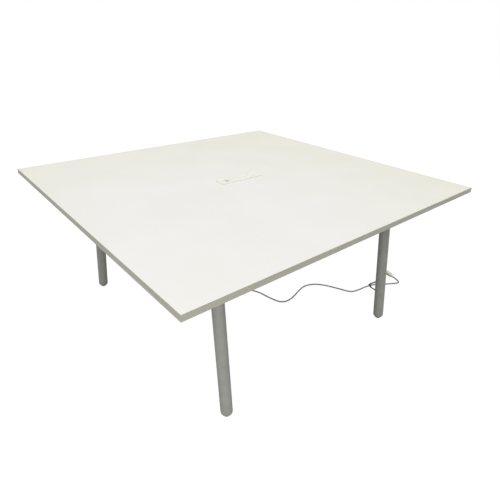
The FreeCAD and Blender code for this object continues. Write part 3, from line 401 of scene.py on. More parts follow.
def along(points):
    """A matrix at each point of a path that faces along the path, with its X level."""
    matrices = []
    for index, point in enumerate(points):
        before = points[max(index - 1, 0)]
        after = points[min(index + 1, len(points) - 1)]
        ahead = after - before
        matrices.append(placed(point, ahead, Vector((0, 0, 1)).cross(ahead)))
    return matrices


def stacked(matrix, sections):
    """Rings for drawn, from pairs of a height along a matrix's Z axis and an outline."""
    return [(matrix @ Matrix.Translation((0, 0, height * mm)), outline) for height, outline in sections]


def on_middle(low, high, height):
    """Point at a height, in metres, on the upright line through a box's middle."""
    return Vector(((low.x + high.x) / 2, (low.y + high.y) / 2, height))


def grown(bm, face):
    """Extrudes one face in place, leaves none behind and returns the new one."""
    return bmesh.ops.extrude_discrete_faces(bm, faces=[face])["faces"][0]


def drawn(bm, rings, steps=ring_steps):
    """Closed body through rings. A ring is a matrix and a function from an angle to a flat point."""
    made = bmesh.ops.create_circle(bm, cap_ends=True, segments=steps, radius=1.0)
    face = made["verts"][0].link_faces[0]
    loops = [list(face.verts)]
    for _ in rings[1:]:
        face = grown(bm, face)
        loops.append(list(face.verts))
    bm.faces.new(loops[0])
    for verts, (matrix, outline) in zip(loops, rings):
        for vert in verts:
            x, y = outline(math.atan2(vert.co.y, vert.co.x))
            vert.co = matrix @ Vector((x * mm, y * mm, 0))


def turned(bm, matrix, profile, steps=ring_steps):
    """Turns a profile of (radius, height) points once round a matrix's Z axis. It caps an open end and
    returns the caps."""
    kept = set(bm.verts)
    points = [bm.verts.new(matrix @ Vector((radius * mm, 0, height * mm))) for radius, height in profile]
    edges = [bm.edges.new(pair) for pair in zip(points, points[1:])]
    axis = matrix.to_3x3() @ Vector((0, 0, 1))
    bmesh.ops.spin(bm, geom=points + edges, cent=matrix.translation, axis=axis, angle=full_turn, steps=steps,
                   use_merge=True)
    bmesh.ops.remove_doubles(bm, verts=[vert for vert in bm.verts if vert not in kept], dist=merge_gap * mm)
    rims = [edge for edge in bm.edges if edge.is_boundary and edge.verts[0] not in kept]
    return bmesh.ops.edgeloop_fill(bm, edges=rims)["faces"] if rims else []


def pressed(bm, face, matrix, outline, depth, taper):
    """Presses a recess of an outline into a flat round face. Its floor is a share, taper, of its rim."""
    back = matrix.inverted()
    rim = grown(bm, face)
    loops = [(list(rim.verts), 0.0, 1.0)]
    loops.append((list(grown(bm, rim).verts), depth, taper))
    for verts, sink, share in loops:
        for vert in verts:
            place = back @ vert.co
            x, y = outline(math.atan2(place.y, place.x))
            vert.co = matrix @ Vector((x * share * mm, y * share * mm, place.z - sink * mm))


def add_block(bm, place, size):
    """Block of a size round a place."""
    shape = Matrix.Diagonal((*[side * mm for side in size], 1))
    bmesh.ops.create_cube(bm, size=1.0, matrix=Matrix.Translation(place) @ shape)


def round_ring(radius):
    """Outline of a circle."""
    return lambda angle: (radius * math.cos(angle), radius * math.sin(angle))


def knurled_ring(radius, depth, steps):
    """Outline of a knurled wheel, whose every other point lies lower by a depth."""
    def outline(angle):
        reach = radius if round(angle / full_turn * steps) % 2 else radius - depth
        return reach * math.cos(angle), reach * math.sin(angle)
    return outline


def hexagon_ring(across):
    """Outline of a hexagon from its width across the flats."""
    def outline(angle):
        reach = across / 2 / math.cos((angle + math.pi / 6) % (math.pi / 3) - math.pi / 6)
        return reach * math.cos(angle), reach * math.sin(angle)
    return outline


def soft_box_ring(width, depth, squareness):
    """Outline of a rectangle with rounded corners. A squareness of 2 is an ellipse."""
    def outline(angle):
        across, up = math.cos(angle), math.sin(angle)
        power = 2 / squareness
        return (math.copysign(abs(across) ** power, across) * width / 2,
                math.copysign(abs(up) ** power, up) * depth / 2)
    return outline


def cross_ring(reach, half_width):
    """Outline of a cross recess on a ring of ring_steps points, a quarter of them for each arm."""
    halfway = (reach + half_width) / 2
    quarter = ((reach, 0), (reach, half_width), (halfway, half_width), (half_width, half_width),
               (half_width, halfway), (half_width, reach))

    def outline(angle):
        arm, point = divmod(round(angle / full_turn * ring_steps) % ring_steps, len(quarter))
        x, y = quarter[point]
        turn = arm * math.pi / 2
        return x * math.cos(turn) - y * math.sin(turn), x * math.sin(turn) + y * math.cos(turn)
    return outline


def new_piece(name, bm, body, slot_name, replaced=(), sharp_from=smooth_angle):
    """Piece of the scene from a bmesh: doubles merged, normals outward, place in its mesh."""
    bmesh.ops.remove_doubles(bm, verts=bm.verts, dist=merge_gap * mm)
    bmesh.ops.recalc_face_normals(bm, faces=bm.faces)
    mesh = bpy.data.meshes.new(name)
    bm.to_mesh(mesh)
    bm.free()
    mesh.shade_smooth()
    mesh.set_sharp_from_angle(angle=math.radians(sharp_from))
    mesh.materials.append(materials[slot_name])
    piece = add_object(name, mesh)
    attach(piece, body)
    if replaced:
        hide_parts(*replaced)
    return piece


def solid_boxes(node):
    """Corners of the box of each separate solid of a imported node, in a steady order."""
    bm = bmesh.new()
    bm.from_mesh(nodes[node].data)
    bmesh.ops.remove_doubles(bm, verts=bm.verts, dist=merge_gap * mm)
    left = set(bm.verts)
    boxes = []
    while left:
        group = [left.pop()]
        for vert in group:
            for edge in vert.link_edges:
                other = edge.other_vert(vert)
                if other in left:
                    left.remove(other)
                    group.append(other)
        low = Vector([min(vert.co[axis] for vert in group) for axis in range(3)])
        high = Vector([max(vert.co[axis] for vert in group) for axis in range(3)])
        boxes.append((low, high))
    bm.free()
    return sorted(boxes, key=lambda box: tuple(round(value, 4) for value in box[0]))


# Cord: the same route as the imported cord's, in metres. Its first run drops straight from the gland.
cord_diameter = 0.008
cord_route = [
    (0.092, 0.0, 0.623), (0.092, 0.0, 0.552), (0.093, 0.006, 0.461), (0.095, 0.019, 0.370),
    (0.098, 0.038, 0.281), (0.101, 0.062, 0.195), (0.105, 0.078, 0.116), (0.108, 0.085, 0.056),
    (0.119, 0.065, 0.018), (0.134, 0.027, 0.004), (0.166, -0.027, 0.004), (0.174, -0.101, 0.004),
    (0.193, -0.178, 0.004), (0.236, -0.198, 0.004), (0.297, -0.188, 0.004), (0.368, -0.163, 0.004),
    (0.440, -0.146, 0.004), (0.506, -0.171, 0.004), (0.550, -0.225, 0.004), (0.590, -0.310, 0.004),
    (0.612, -0.362, 0.004), (0.668, -0.377, 0.004), (0.730, -0.382, 0.006), (0.798, -0.399, 0.006),
    (0.848, -0.431, 0.004), (0.888, -0.453, 0.004), (0.912, -0.468, 0.004), (0.930, -0.4765, 0.004),
    (0.943, -0.4795, 0.005), (0.9525, -0.4715, 0.008), (0.957, -0.454, 0.011), (0.966, -0.428, 0.011),
]


def make_cord():
    """The cord as one smooth curve along its route."""
    curve = bpy.data.curves.new("cord", "CURVE")
    curve.dimensions = "3D"
    spline = curve.splines.new("NURBS")
    spline.points.add(len(cord_route) - 1)
    for point, place in zip(spline.points, cord_route):
        point.co = (*place, 1.0)
    spline.order_u = 3
    spline.use_endpoint_u = True
    spline.resolution_u = 12
    curve.bevel_depth = cord_diameter / 2
    curve.bevel_resolution = 4
    curve.use_fill_caps = True
    curve.materials.append(materials["cord_grey"])
    piece = add_object("cord", curve)
    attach(piece, "table")
    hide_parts("power_cord")
    return piece


# Plug, drawn along its own axis from the end of the cord: strain relief, shoulder, grip and face. A
# step of the face's rim is how far back it lies and how far it is drawn in, as shares of face_round.
cord_end = Vector(cord_route[-1])
plug_way = (cord_end - Vector(cord_route[-2])).normalized()
plug_frame = placed(cord_end, plug_way, Vector((0, 0, 1)).cross(plug_way))
plug_steps = 48
relief_length = 16.0
relief_diameters = (10.0, 14.6)
relief_groove = 1.6
relief_rib_count = 4
relief_rib_shares = (0.0, 0.15, 0.6, 0.75)
shoulder_length = 8.0
shoulder_steps = 4
plug_length = 52.0
grip_size = (23.0, 19.0)
grip_squareness = 4.5
grip_inset = 0.4
ridge_height = 0.9
ridge_foot = 1.2
ridge_top = 0.5
ridge_places = (14.0, 20.0, 26.0, 32.0)
face_size = (27.6, 21.8)
face_squareness = 5.0
face_length = 8.0
face_step = 0.8
face_round = 2.5
face_rim = ((1, 0), (1 / 3, 1 / 2), (0, 1.4))


def relief_sections():
    """Strain relief: ribs with grooves between them, which grow towards the grip."""
    sections = []
    pitch = relief_length / relief_rib_count
    for index in range(relief_rib_count):
        share = index / (relief_rib_count - 1)
        radius = between(*relief_diameters, share) / 2
        groove = radius - relief_groove / 2
        for offset, reach in zip(relief_rib_shares, (groove, radius, radius, groove)):
            sections.append(((index + offset) * pitch, round_ring(reach)))
    return sections


def grip_at(distance):
    """Width and height of the plug at a distance from the start of its shoulder."""
    if distance < shoulder_length:
        start, ends = (relief_diameters[1], relief_diameters[1]), grip_size
        share = math.sin(distance / shoulder_length * math.pi / 2)
    else:
        start, ends = grip_size, face_size
        share = (distance - shoulder_length) / (plug_length - shoulder_length)
    return [between(low, high, share) for low, high in zip(start, ends)]


def grip_sections():
    """Shoulder that turns from round to square, and the grip with its finger ridges."""
    sections = []
    for step in range(shoulder_steps + 1):
        distance = step / shoulder_steps * shoulder_length
        width, height = grip_at(distance)
        sections.append((relief_length + distance, soft_box_ring(width, height, 2 + step / 2)))
    for place in ridge_places:
        width, height = grip_at(place)
        for offset, swell in ((-ridge_foot, 0), (-ridge_top, ridge_height), (ridge_top, ridge_height),
                              (ridge_foot, 0)):
            more = swell - grip_inset
            outline = soft_box_ring(width + more, height + more, grip_squareness)
            sections.append((relief_length + place + offset, outline))
    return sections


def face_sections():
    """Face of the plug: a small step up from the grip and a rounded rim."""
    sections = []
    width, height = face_size
    rim = [(face_round * back, face_round * less) for back, less in face_rim]
    for back, less in [(face_length, grip_inset), (face_length - face_step, 0)] + rim:
        outline = soft_box_ring(width - less, height - less, face_squareness)
        sections.append((relief_length + plug_length - back, outline))
    return sections


def make_plug():
    """Plug moulding, one closed body from the cord to the face."""
    bm = bmesh.new()
    sections = relief_sections() + grip_sections() + face_sections()
    drawn(bm, stacked(plug_frame, sections), steps=plug_steps)
    return new_piece("plug_moulding", bm, "table", "plug_cream", ["plug_body"])


# Prongs of the plug, whose lengths count from its face. A step of the pin's tip is a share of its
# radius and a distance from its end.
prong_sink = 1.0
blade_length = 17.5
blade_thickness = 1.5
blade_width = 6.4
blade_spacing = 12.7
blade_rise = 0.8
blade_corner = (1.0, 1.5)
blade_hole = 3.2
blade_hole_inset = 6.0
blade_hole_steps = 16
pin_diameter = 4.8
pin_length = 20.5
pin_drop = 5.5
pin_tip = ((1.0, 2.5), (0.85, 1.5), (0.45, 0.4), (0.0, 0.0))


def add_blade(bm, matrix):
    """Flat blade with cut-back corners and a round hole: its outline is filled and extruded."""
    half = blade_width / 2
    tip = half - blade_corner[0]
    end = blade_length + prong_sink
    shoulder = end - blade_corner[1]
    outline = [(-half, 0), (half, 0), (half, shoulder), (tip, end), (-tip, end), (-half, shoulder)]
    hole = []
    for step in range(blade_hole_steps):
        turn = full_turn * step / blade_hole_steps
        hole.append((blade_hole / 2 * math.cos(turn),
                     end - blade_hole_inset + blade_hole / 2 * math.sin(turn)))
    edges = []
    for loop in (outline, hole):
        places = [matrix @ Vector((-blade_thickness / 2 * mm, y * mm, z * mm)) for y, z in loop]
        verts = [bm.verts.new(place) for place in places]
        edges += [bm.edges.new(pair) for pair in zip(verts, verts[1:] + verts[:1])]
    filled = bmesh.ops.triangle_fill(bm, edges=edges, use_beauty=True, use_dissolve=False)["geom"]
    faces = [part for part in filled if isinstance(part, bmesh.types.BMFace)]
    thick = bmesh.ops.extrude_face_region(bm, geom=faces)["geom"]
    far_verts = [part for part in thick if isinstance(part, bmesh.types.BMVert)]
    shift = matrix.to_3x3() @ Vector((blade_thickness * mm, 0, 0))
    bmesh.ops.translate(bm, verts=far_verts, vec=shift)


def make_prongs():
    """Two flat blades and the round earth pin."""
    bm = bmesh.new()
    base = plug_frame @ Matrix.Translation((0, 0, (relief_length + plug_length - prong_sink) * mm))
    for side in (-1, 1):
        add_blade(bm, base @ Matrix.Translation((side * blade_spacing / 2 * mm, blade_rise * mm, 0)))
    radius = pin_diameter / 2
    end = pin_length + prong_sink
    profile = [(0, 0), (radius, 0)] + [(radius * share, end - back) for share, back in pin_tip]
    turned(bm, base @ Matrix.Translation((0, -pin_drop * mm, 0)), profile)
    return new_piece("plug_prongs", bm, "table", "brass", ["plug_blades"])


# Strap tie: a band round one run of the cord, and two loose ends that lie on the floor. A point of an
# end is how far it lies ahead along the cord and to the left of it, and its height above the floor.
tie_run = 22
band_width = 8.0
band_thickness = 1.3
band_bulge = 0.15
band_inner = 8.3
band_steps = 32
tail_width = 11.0
tail_squareness = 5.0
tail_steps = 6
tail_ring_steps = 16
long_tail = ((4, 5, 7.0), (13, 15, 1.6), (35, 21, 1.0), (61, 23, 1.0), (84, 24, 3.2))
short_tail = ((0, -5, 6.5), (-1, -16, 1.6), (2, -31, 1.0), (4, -47, 1.0), (5, -62, 4.0))


def smooth_path(points, steps):
    """Points along a smooth curve through some points, with each tangent set by its neighbours."""
    path = [points[0]]
    slopes = [(points[min(i + 1, len(points) - 1)] - points[max(i - 1, 0)]) / 2 for i in range(len(points))]
    for start, end, out, back in zip(points, points[1:], slopes, slopes[1:]):
        path += interpolate_bezier(start, start + out / 3, end - back / 3, end, steps)[1:]
    return path


def make_strap():
    """The strap's band and its two ends."""
    bm = bmesh.new()
    start, end = Vector(cord_route[tie_run]), Vector(cord_route[tie_run + 1])
    middle = (start + end) / 2
    way = (end - start).normalized()
    across = Vector((0, 0, 1)).cross(way)
    inner = band_inner / 2
    outer = inner + band_thickness
    half = band_width / 2
    profile = [(inner, -half), (outer, -half), (outer + band_bulge, 0), (outer, half), (inner, half),
               (inner, -half)]
    turned(bm, placed(middle, way, across), profile, steps=band_steps)
    for tail in (long_tail, short_tail):
        points = []
        for ahead, sideways, height in tail:
            place = middle + way * ahead * mm + across * sideways * mm
            points.append(Vector((place.x, place.y, height * mm)))
        outline = soft_box_ring(tail_width, band_thickness, tail_squareness)
        rings = [(matrix, outline) for matrix in along(smooth_path(points, tail_steps))]
        drawn(bm, rings, steps=tail_ring_steps)
    return new_piece("cord_strap", bm, "table", "tie_black", ["cord_tie"])


# Cord gland under the housing. A rib of its sleeve rises between shares of its pitch.
gland_hexagon = 22.0
gland_hexagon_height = 9.0
gland_chamfer = 1.2
gland_end_diameter = 21.12
gland_sleeve_diameters = (17.0, 11.0)
gland_neck = 17.0
gland_rib_count = 7
gland_rib_shares = (0.1, 0.25, 0.75)
gland_groove = 0.9
gland_steps = 32


def make_gland():
    """Gland: a hexagon with turned-down corners, and a sleeve of soft ribs that taper to the cord."""
    bm = bmesh.new()
    low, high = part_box("cord_gland")
    centre = on_middle(low, high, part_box("module_housing")[0].z)
    down = placed(centre, (0, 0, -1), (1, 0, 0))
    end = round_ring(gland_end_diameter / 2)
    hexagon = hexagon_ring(gland_hexagon)
    sections = ((0, end), (gland_chamfer, hexagon), (gland_hexagon_height - gland_chamfer, hexagon),
                (gland_hexagon_height, end))
    drawn(bm, stacked(down, sections))
    length = (centre.z - low.z) / mm
    profile = [(gland_neck / 2, -(high.z - centre.z) / mm), (gland_neck / 2, gland_hexagon_height)]
    pitch = (length - gland_hexagon_height) / gland_rib_count
    for index in range(gland_rib_count):
        share = index / (gland_rib_count - 1)
        radius = between(*gland_sleeve_diameters, share) / 2
        for offset, reach in zip(gland_rib_shares, (radius - gland_groove, radius, radius)):
            profile.append((reach, gland_hexagon_height + (index + offset) * pitch))
    profile.append((gland_sleeve_diameters[1] / 2 - gland_groove, length))
    turned(bm, down, profile, steps=gland_steps)
    return new_piece("ringed_gland", bm, "table", "housing_grey", ["cord_gland"])


cord = make_cord()
plug = make_plug()
prongs = make_prongs()
strap = make_strap()
make_gland()

# Cross-head screws. A step of a head is a share of its radius and of its height.
head_dome = ((1.0, 0.35), (0.93, 0.7), (0.8, 0.92), (0.68, 1.0))
screw_tip_share = 0.6
cross_width_share = 0.25
cross_depth_share = 0.6
cross_taper = 0.75
pan_head_height = 3.2
pan_head_radius = 4.75
pan_shank_radius = 2.4
pan_cross_reach = 2.2
oval_head_height = 0.8
oval_shank_radius = 1.5
oval_cross_reach = 1.5


def add_cross_screw(bm, seat, head_way, radius, height, shank_radius, length, reach):
    """Screw with a domed head and a cross recess. Its head points along head_way from its seat."""
    matrix = placed(seat, head_way, (1, 0, 0))
    profile = [(0, -length), (shank_radius * screw_tip_share, shank_radius - length),
               (shank_radius, 2 * shank_radius - length), (shank_radius, 0), (radius, 0)]
    profile += [(radius * across, height * up) for across, up in head_dome]
    face = turned(bm, matrix, profile)[0]
    pressed(bm, face, matrix, cross_ring(reach, reach * cross_width_share), height * cross_depth_share,
            cross_taper)


def make_top_screws():
    """Pan-head wood screws that hold the frame to the worktop, one for each packed screw."""
    bm = bmesh.new()
    for low, high in solid_boxes("top_screws"):
        seat = on_middle(low, high, low.z + pan_head_height * mm)
        add_cross_screw(bm, seat, (0, 0, -1), pan_head_radius, pan_head_height, pan_shank_radius,
                        (high.z - seat.z) / mm, pan_cross_reach)
    new_piece("pan_head_screws", bm, "table", "zinc_steel", ["top_screws"])


def make_face_screws():
    """Enamelled oval-head screws of the face plate."""
    bm = bmesh.new()
    for low, high in solid_boxes("face_plate_screws"):
        seat = on_middle(low, high, high.z - oval_head_height * mm)
        add_cross_screw(bm, seat, (0, 0, 1), (high.x - low.x) / 2 / mm, oval_head_height, oval_shank_radius,
                        (seat.z - low.z) / mm, oval_cross_reach)
    new_piece("oval_head_screws", bm, "table", "screw_white", ["face_plate_screws"])


# Hexagon bolts of the frame. Their head height counts from the seat and holds the washer.
bolt_radius = 4.0
bolt_chamfer = 0.8
washer_radius = 8.4
washer_thickness = 1.4
bolt_across = 13.0
bolt_draft = 0.1
bolt_head_height = 5.3
bolt_corner = 0.6
bolt_face_radius = 6.2


def make_bolts(node, name):
    """Hexagon bolts with turned-down corners and a washer, along X, for each packed bolt."""
    bm = bmesh.new()
    shank = round_ring(bolt_radius)
    washer = round_ring(washer_radius)
    for low, high in solid_boxes(node):
        middle = (low + high) / 2
        inward = -math.copysign(1, middle.x)
        head_end, far_end = (low.x, high.x) if inward < 0 else (high.x, low.x)
        seat = Vector((head_end - inward * bolt_head_height * mm, middle.y, middle.z))
        length = abs(far_end - seat.x) / mm
        sections = ((-length, round_ring(bolt_radius - bolt_chamfer)), (bolt_chamfer - length, shank),
                    (0, shank), (0, washer), (washer_thickness, washer),
                    (washer_thickness, hexagon_ring(bolt_across - 2 * bolt_draft)),
                    (bolt_head_height - bolt_corner, hexagon_ring(bolt_across)),
                    (bolt_head_height, round_ring(bolt_face_radius)))
        drawn(bm, stacked(placed(seat, (inward, 0, 0), (0, 0, 1)), sections))
    new_piece(name, bm, "table", "zinc_steel", [node])


# Leg screws, and the centre line of a leg in metres. A step of a button head is a radius and a height.
leg_top = Vector((0.535, 0.500, 0.714))
leg_foot = Vector((0.535, 0.600, 0.0))
leg_radius = 25.4
button_sink = 0.3
button_shank_radius = 3.0
button_length = 8.0
button_dome = ((5.25, 0.0), (5.1, 0.9), (4.5, 1.9), (3.4, 2.8))
button_hexagon = 4.0
button_socket_depth = 2.0


def leg_line(middle):
    """Start and direction of the centre line of the leg on the same side as a point."""
    side_x = math.copysign(1, middle.x)
    side_y = math.copysign(1, middle.y)
    start, end = [Vector((side_x * point.x, side_y * point.y, point.z)) for point in (leg_top, leg_foot)]
    return start, (end - start).normalized()


def make_leg_screws():
    """Button-head screws with a hexagon socket, on the inner side of the legs."""
    bm = bmesh.new()
    for low, high in solid_boxes("leg_screws"):
        middle = (low + high) / 2
        start, down = leg_line(middle)
        on_axis = start + down * (middle - start).dot(down)
        inward = Vector((0, down.z, -down.y)).normalized()
        if inward.y * middle.y > 0:
            inward.negate()
        matrix = placed(on_axis + inward * (leg_radius - button_sink) * mm, inward, (1, 0, 0))
        profile = [(0, -button_length), (button_shank_radius, -button_length), (button_shank_radius, 0)]
        face = turned(bm, matrix, profile + list(button_dome))[0]
        pressed(bm, face, matrix, hexagon_ring(button_hexagon), button_socket_depth, 1.0)
    new_piece("button_head_screws", bm, "table", "zinc_steel", ["leg_screws"])


# Clamp screws of the power module
knob_radius = 4.5
knob_end_radius = 3.9
knob_height = 4.0
knob_chamfer = 0.4
knurl_depth = 0.35
knurl_steps = 48
clamp_shank_radius = 2.5
clamp_pad_radius = 4.5
clamp_pad_end_radius = 4.1
clamp_pad_height = 2.0
clamp_pad_chamfer = 0.4


def make_clamp_screws():
    """Clamp screws of the module: their knurled heads below, their pads against the worktop."""
    bm = bmesh.new()
    knob_end = round_ring(knob_end_radius)
    knurl = knurled_ring(knob_radius, knurl_depth, knurl_steps)
    shank = round_ring(clamp_shank_radius)
    pad = round_ring(clamp_pad_radius)
    for low, high in solid_boxes("module_clamp_screws"):
        length = (high.z - low.z) / mm
        sections = ((0, knob_end), (knob_chamfer, knurl), (knob_height - knob_chamfer, knurl),
                    (knob_height, knob_end), (knob_height, shank), (length - clamp_pad_height, shank),
                    (length - clamp_pad_height, pad), (length - clamp_pad_chamfer, pad),
                    (length, round_ring(clamp_pad_end_radius)))
        up = placed(on_middle(low, high, low.z), (0, 0, 1), (1, 0, 0))
        drawn(bm, stacked(up, sections), steps=knurl_steps)
    new_piece("clamp_thumb_screws", bm, "table", "zinc_steel", ["module_clamp_screws"])


# Levelling glides. A corner of the thread is a radius and a share of the pitch.
stud_root_radius = 4.2
stud_tip_radius = 3.4
stud_tip_length = 1.0
stud_steps = 16
thread_pitch = 1.5
thread_start = 1.0
thread_end_space = 3.0
thread_corners = ((4.0, 0.1), (4.95, 0.5), (4.0, 0.9))
thread_steps = 14
pad_hollow = 0.5
pad_rim_radius = 9.0
pad_slope = 1.0
pad_round = 0.7
pad_bottom_round = 0.8
dish_radius = 6.0
dish_slope = 0.6
dish_depth = 0.4
pad_steps = 48


def make_stud(corner):
    """Stud of one levelling glide, with its thread as one helix."""
    low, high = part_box("glide_stud_" + corner)
    centre = on_middle(low, high, low.z)
    up = placed(centre, (0, 0, 1), (1, 0, 0))
    length = (high.z - low.z) / mm
    bm = bmesh.new()
    profile = [(0, 0), (stud_root_radius, 0), (stud_root_radius, length - stud_tip_length),
               (stud_tip_radius, length), (0, length)]
    turned(bm, up, profile, steps=stud_steps)
    turn_count = int((length - thread_end_space) / thread_pitch)
    places = [up @ Vector((radius * mm, 0, (thread_start + share * thread_pitch) * mm))
              for radius, share in thread_corners]
    verts = [bm.verts.new(place) for place in places]
    face = bm.faces.new(verts)
    bmesh.ops.spin(bm, geom=[face] + list(face.edges) + verts, cent=centre, axis=(0, 0, 1),
                   dvec=(0, 0, thread_pitch / thread_steps * mm), angle=full_turn * turn_count,
                   steps=thread_steps * turn_count, use_merge=False)
    new_piece("threaded_stud_" + corner, bm, "glide_" + corner, "zinc_steel", ["glide_stud_" + corner])


def make_pad(corner):
    """Pad of one levelling glide: hollow below, with a shallow dish round the stud above."""
    low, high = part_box("glide_pad_" + corner)
    radius = (high.x - low.x) / 2 / mm
    height = (high.z - low.z) / mm
    bm = bmesh.new()
    dish_floor = height - dish_depth
    profile = [(0, pad_hollow), (pad_rim_radius - pad_slope, pad_hollow), (pad_rim_radius, 0),
               (radius - pad_bottom_round, 0), (radius, pad_round), (radius, height - pad_round),
               (radius - pad_round, height), (dish_radius, height),
               (dish_radius - dish_slope, dish_floor), (0, dish_floor)]
    turned(bm, placed(on_middle(low, high, low.z), (0, 0, 1), (1, 0, 0)), profile, steps=pad_steps)
    new_piece("moulded_pad_" + corner, bm, "glide_" + corner, "black_nylon", ["glide_pad_" + corner])


# Weld beads of the cross beams on their end plates
bead_size = (2.4, 2.0, 2.4)
bead_pitch = 3.2
bead_stand = 0.6
bead_segments = (8, 6)
bead_sharp_from = 80


def make_weld_beads():
    """Rippled fillet welds round each end of the two cross beams."""
    bm = bmesh.new()
    size = Matrix.Diagonal((*[side * mm for side in bead_size], 1))
    for name in ("cross_beam_front", "cross_beam_back"):
        low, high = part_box(name)
        loop = [(low.y, low.z), (high.y, low.z), (high.y, high.z), (low.y, high.z), (low.y, low.z)]
        for end, inward in ((low.x, 1), (high.x, -1)):
            for (y0, z0), (y1, z1) in zip(loop, loop[1:]):
                count = round(max(abs(y1 - y0), abs(z1 - z0)) / mm / bead_pitch)
                for index in range(count):
                    share = (index + 0.5) / count
                    place = (end + inward * bead_stand * mm, between(y0, y1, share),
                             between(z0, z1, share))
                    bmesh.ops.create_uvsphere(bm, u_segments=bead_segments[0], v_segments=bead_segments[1],
                                              radius=1.0, matrix=Matrix.Translation(place) @ size)
    new_piece("weld_beads", bm, "table", "grey_paint", sharp_from=bead_sharp_from)


# Contacts of the outlets, which lie below their faces
contact_depth = 3.0
leaf_size = (0.35, 6.0, 9.0)
leaf_offset = 0.7
slot_rise = 4.0
earth_drop = 8.0
earth_radii = (2.1, 2.45)
earth_chamfer = 0.6
earth_steps = 20


def make_outlet_contacts():
    """Brass leaves in the slots of the outlets, and a sleeve in each earth hole."""
    bm = bmesh.new()
    inner, outer = earth_radii
    length = leaf_size[2]
    for node in sorted(name for name in nodes if name.startswith("outlet")):
        low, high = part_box(node)
        middle = on_middle(low, high, high.z - contact_depth * mm)
        for side in (-1, 1):
            for leaf in (-1, 1):
                across = side * blade_spacing / 2 + leaf * leaf_offset
                add_block(bm, middle + Vector((across, slot_rise, -length / 2)) * mm, leaf_size)
        down = placed(middle - Vector((0, earth_drop * mm, 0)), (0, 0, -1), (1, 0, 0))
        profile = [(outer, 0), (inner, earth_chamfer), (inner, length), (outer, length), (outer, 0)]
        turned(bm, down, profile, steps=earth_steps)
    new_piece("outlet_contacts", bm, "table", "brass")


# Charging ports. Places in a port count from the middle of its opening.
usb_port = (13.0, 6.0)
usb_places = (-6.5, 6.5)
shell_gap = 0.1
shell_wall = 0.6
shell_top = 0.5
shell_bottom = 11.8
shell_floor = 0.4
shell_squareness = 10.0
tongue_size = (11.0, 1.9, 9.0)
tongue_place = (0.0, 0.9, -6.5)
lane_size = (1.1, 0.25, 7.0)
lane_place = (0.0, -0.1, -6.0)
lane_count = 4
lane_pitch = 2.5


def make_usb_parts():
    """Steel shells, tongues and contact lanes of the two charging ports."""
    low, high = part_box("usb_charger")
    shells, tongues, lanes = bmesh.new(), bmesh.new(), bmesh.new()
    width, depth = usb_port
    outside = soft_box_ring(width - shell_gap, depth - shell_gap, shell_squareness)
    wall = shell_gap + shell_wall
    inside = soft_box_ring(width - wall, depth - wall, shell_squareness)
    sections = ((shell_bottom, outside), (shell_top, outside), (shell_top, inside),
                (shell_bottom - shell_floor, inside))
    for offset in usb_places:
        centre = on_middle(low, high, high.z) + Vector((0, offset * mm, 0))
        drawn(shells, stacked(placed(centre, (0, 0, -1), (1, 0, 0)), sections))
        add_block(tongues, centre + Vector(tongue_place) * mm, tongue_size)
        for lane in range(lane_count):
            sideways = Vector(((lane - (lane_count - 1) / 2) * lane_pitch, 0, 0))
            add_block(lanes, centre + (Vector(lane_place) + sideways) * mm, lane_size)
    new_piece("usb_shells", shells, "table", "zinc_steel")
    new_piece("usb_tongues", tongues, "table", "module_white")
    new_piece("usb_contacts", lanes, "table", "brass")


make_top_screws()
make_face_screws()
make_bolts("beam_bolts", "beam_hexagon_bolts")
make_bolts("socket_bolts", "socket_hexagon_bolts")
make_leg_screws()
make_clamp_screws()
for corner in corners:
    make_stud(corner)
    make_pad(corner)
make_weld_beads()
make_outlet_contacts()
make_usb_parts()

# Studio, in metres: a pale floor, white surroundings and one soft light. The surroundings light the
# table less from behind than from the camera's side.
floor_size = 30.0
floor_drop = 0.0004
floor_bounce = "3F3F3E"
floor_seen = "FFFFFF"
floor_glow = 0.955
floor_lit = [0.1, 0.1, 0.1, 1.0]
surround_shade = "FFFFFF"
surround_strengths = (0.56, 1.34)
light_height = 1.75
light_width = 1.0
light_power = 30.3
light_place = (-2.094, -2.293, light_height / 2)
light_way = (-0.664, -0.747, 0.0)


def seen_ray(material):
    """1 for rays of the camera, of reflections and of clear pieces."""
    path = add(material, "LightPath")
    either = add(material, "Math", {"operation": "MAXIMUM"},
                 {0: (path, "Is Camera Ray"), 1: (path, "Is Glossy Ray")})
    return add(material, "Math", {"operation": "MAXIMUM"},
               {0: (either, "Value"), 1: (path, "Is Transmission Ray")})


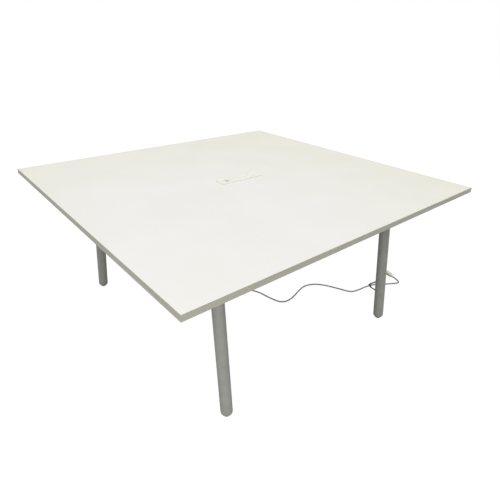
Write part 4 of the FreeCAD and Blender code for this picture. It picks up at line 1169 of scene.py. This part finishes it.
def make_floor():
    """Plain pale floor: white where it is seen, with the table's faint shadow, and dark grey in its
    bounced light."""
    material = empty_material("studio_floor")
    bounce = add(material, "BsdfDiffuse", {"Color": linear(floor_bounce)})
    lit = add(material, "BsdfDiffuse", {"Color": floor_lit})
    glow = add(material, "Emission", {"Color": linear(floor_seen), "Strength": floor_glow})
    both = add(material, "AddShader", {}, {0: (lit, "BSDF"), 1: (glow, "Emission")})
    seen = seen_ray(material)
    mix = add(material, "MixShader", {}, {0: (seen, "Value"), 1: (bounce, "BSDF"), 2: (both, "Shader")})
    add(material, "OutputMaterial", {}, {"Surface": (mix, "Shader")})
    bm = bmesh.new()
    bmesh.ops.create_grid(bm, x_segments=1, y_segments=1, size=floor_size / 2,
                          matrix=Matrix.Translation((0, 0, -floor_drop)))
    mesh = bpy.data.meshes.new("floor")
    bm.to_mesh(mesh)
    bm.free()
    mesh.materials.append(material)
    floor = add_object("floor", mesh)


def make_surroundings():
    """Surroundings that are seen as plain white. Their light on the table grows from behind it to the
    side that the lamp stands on."""
    world = bpy.data.worlds.new("studio")
    bpy.context.scene.world = world
    world.use_nodes = True
    world.node_tree.nodes.clear()
    seen = seen_ray(world)
    place = add(world, "TexCoord")
    facing = add(world, "VectorMath", {"operation": "DOT_PRODUCT", 1: light_way}, {0: (place, "Generated")})
    strength = add(world, "MapRange", {"From Min": -1.0, "To Min": surround_strengths[0],
                                       "To Max": surround_strengths[1]}, {"Value": (facing, "Value")})
    dim = add(world, "Background", {"Color": linear(surround_shade)}, {"Strength": (strength, "Result")})
    white = add(world, "Background", {"Color": linear(surround_shade), "Strength": 1.0})
    mix = add(world, "MixShader", {}, {0: (seen, "Value"), 1: (dim, "Background"), 2: (white, "Background")})
    add(world, "OutputWorld", {}, {"Surface": (mix, "Shader")})


def make_lamp():
    """One tall soft light behind the camera, near enough to fade over the table's length."""
    data = bpy.data.lights.new("front_light", "AREA")
    data.shape = "RECTANGLE"
    data.size = light_height
    data.size_y = light_width
    data.energy = light_power
    light = add_object("front_light", data)
    light.visible_camera = False
    light.matrix_world = placed(light_place, light_way, (0, 0, 1))


make_floor()
make_surroundings()
make_lamp()
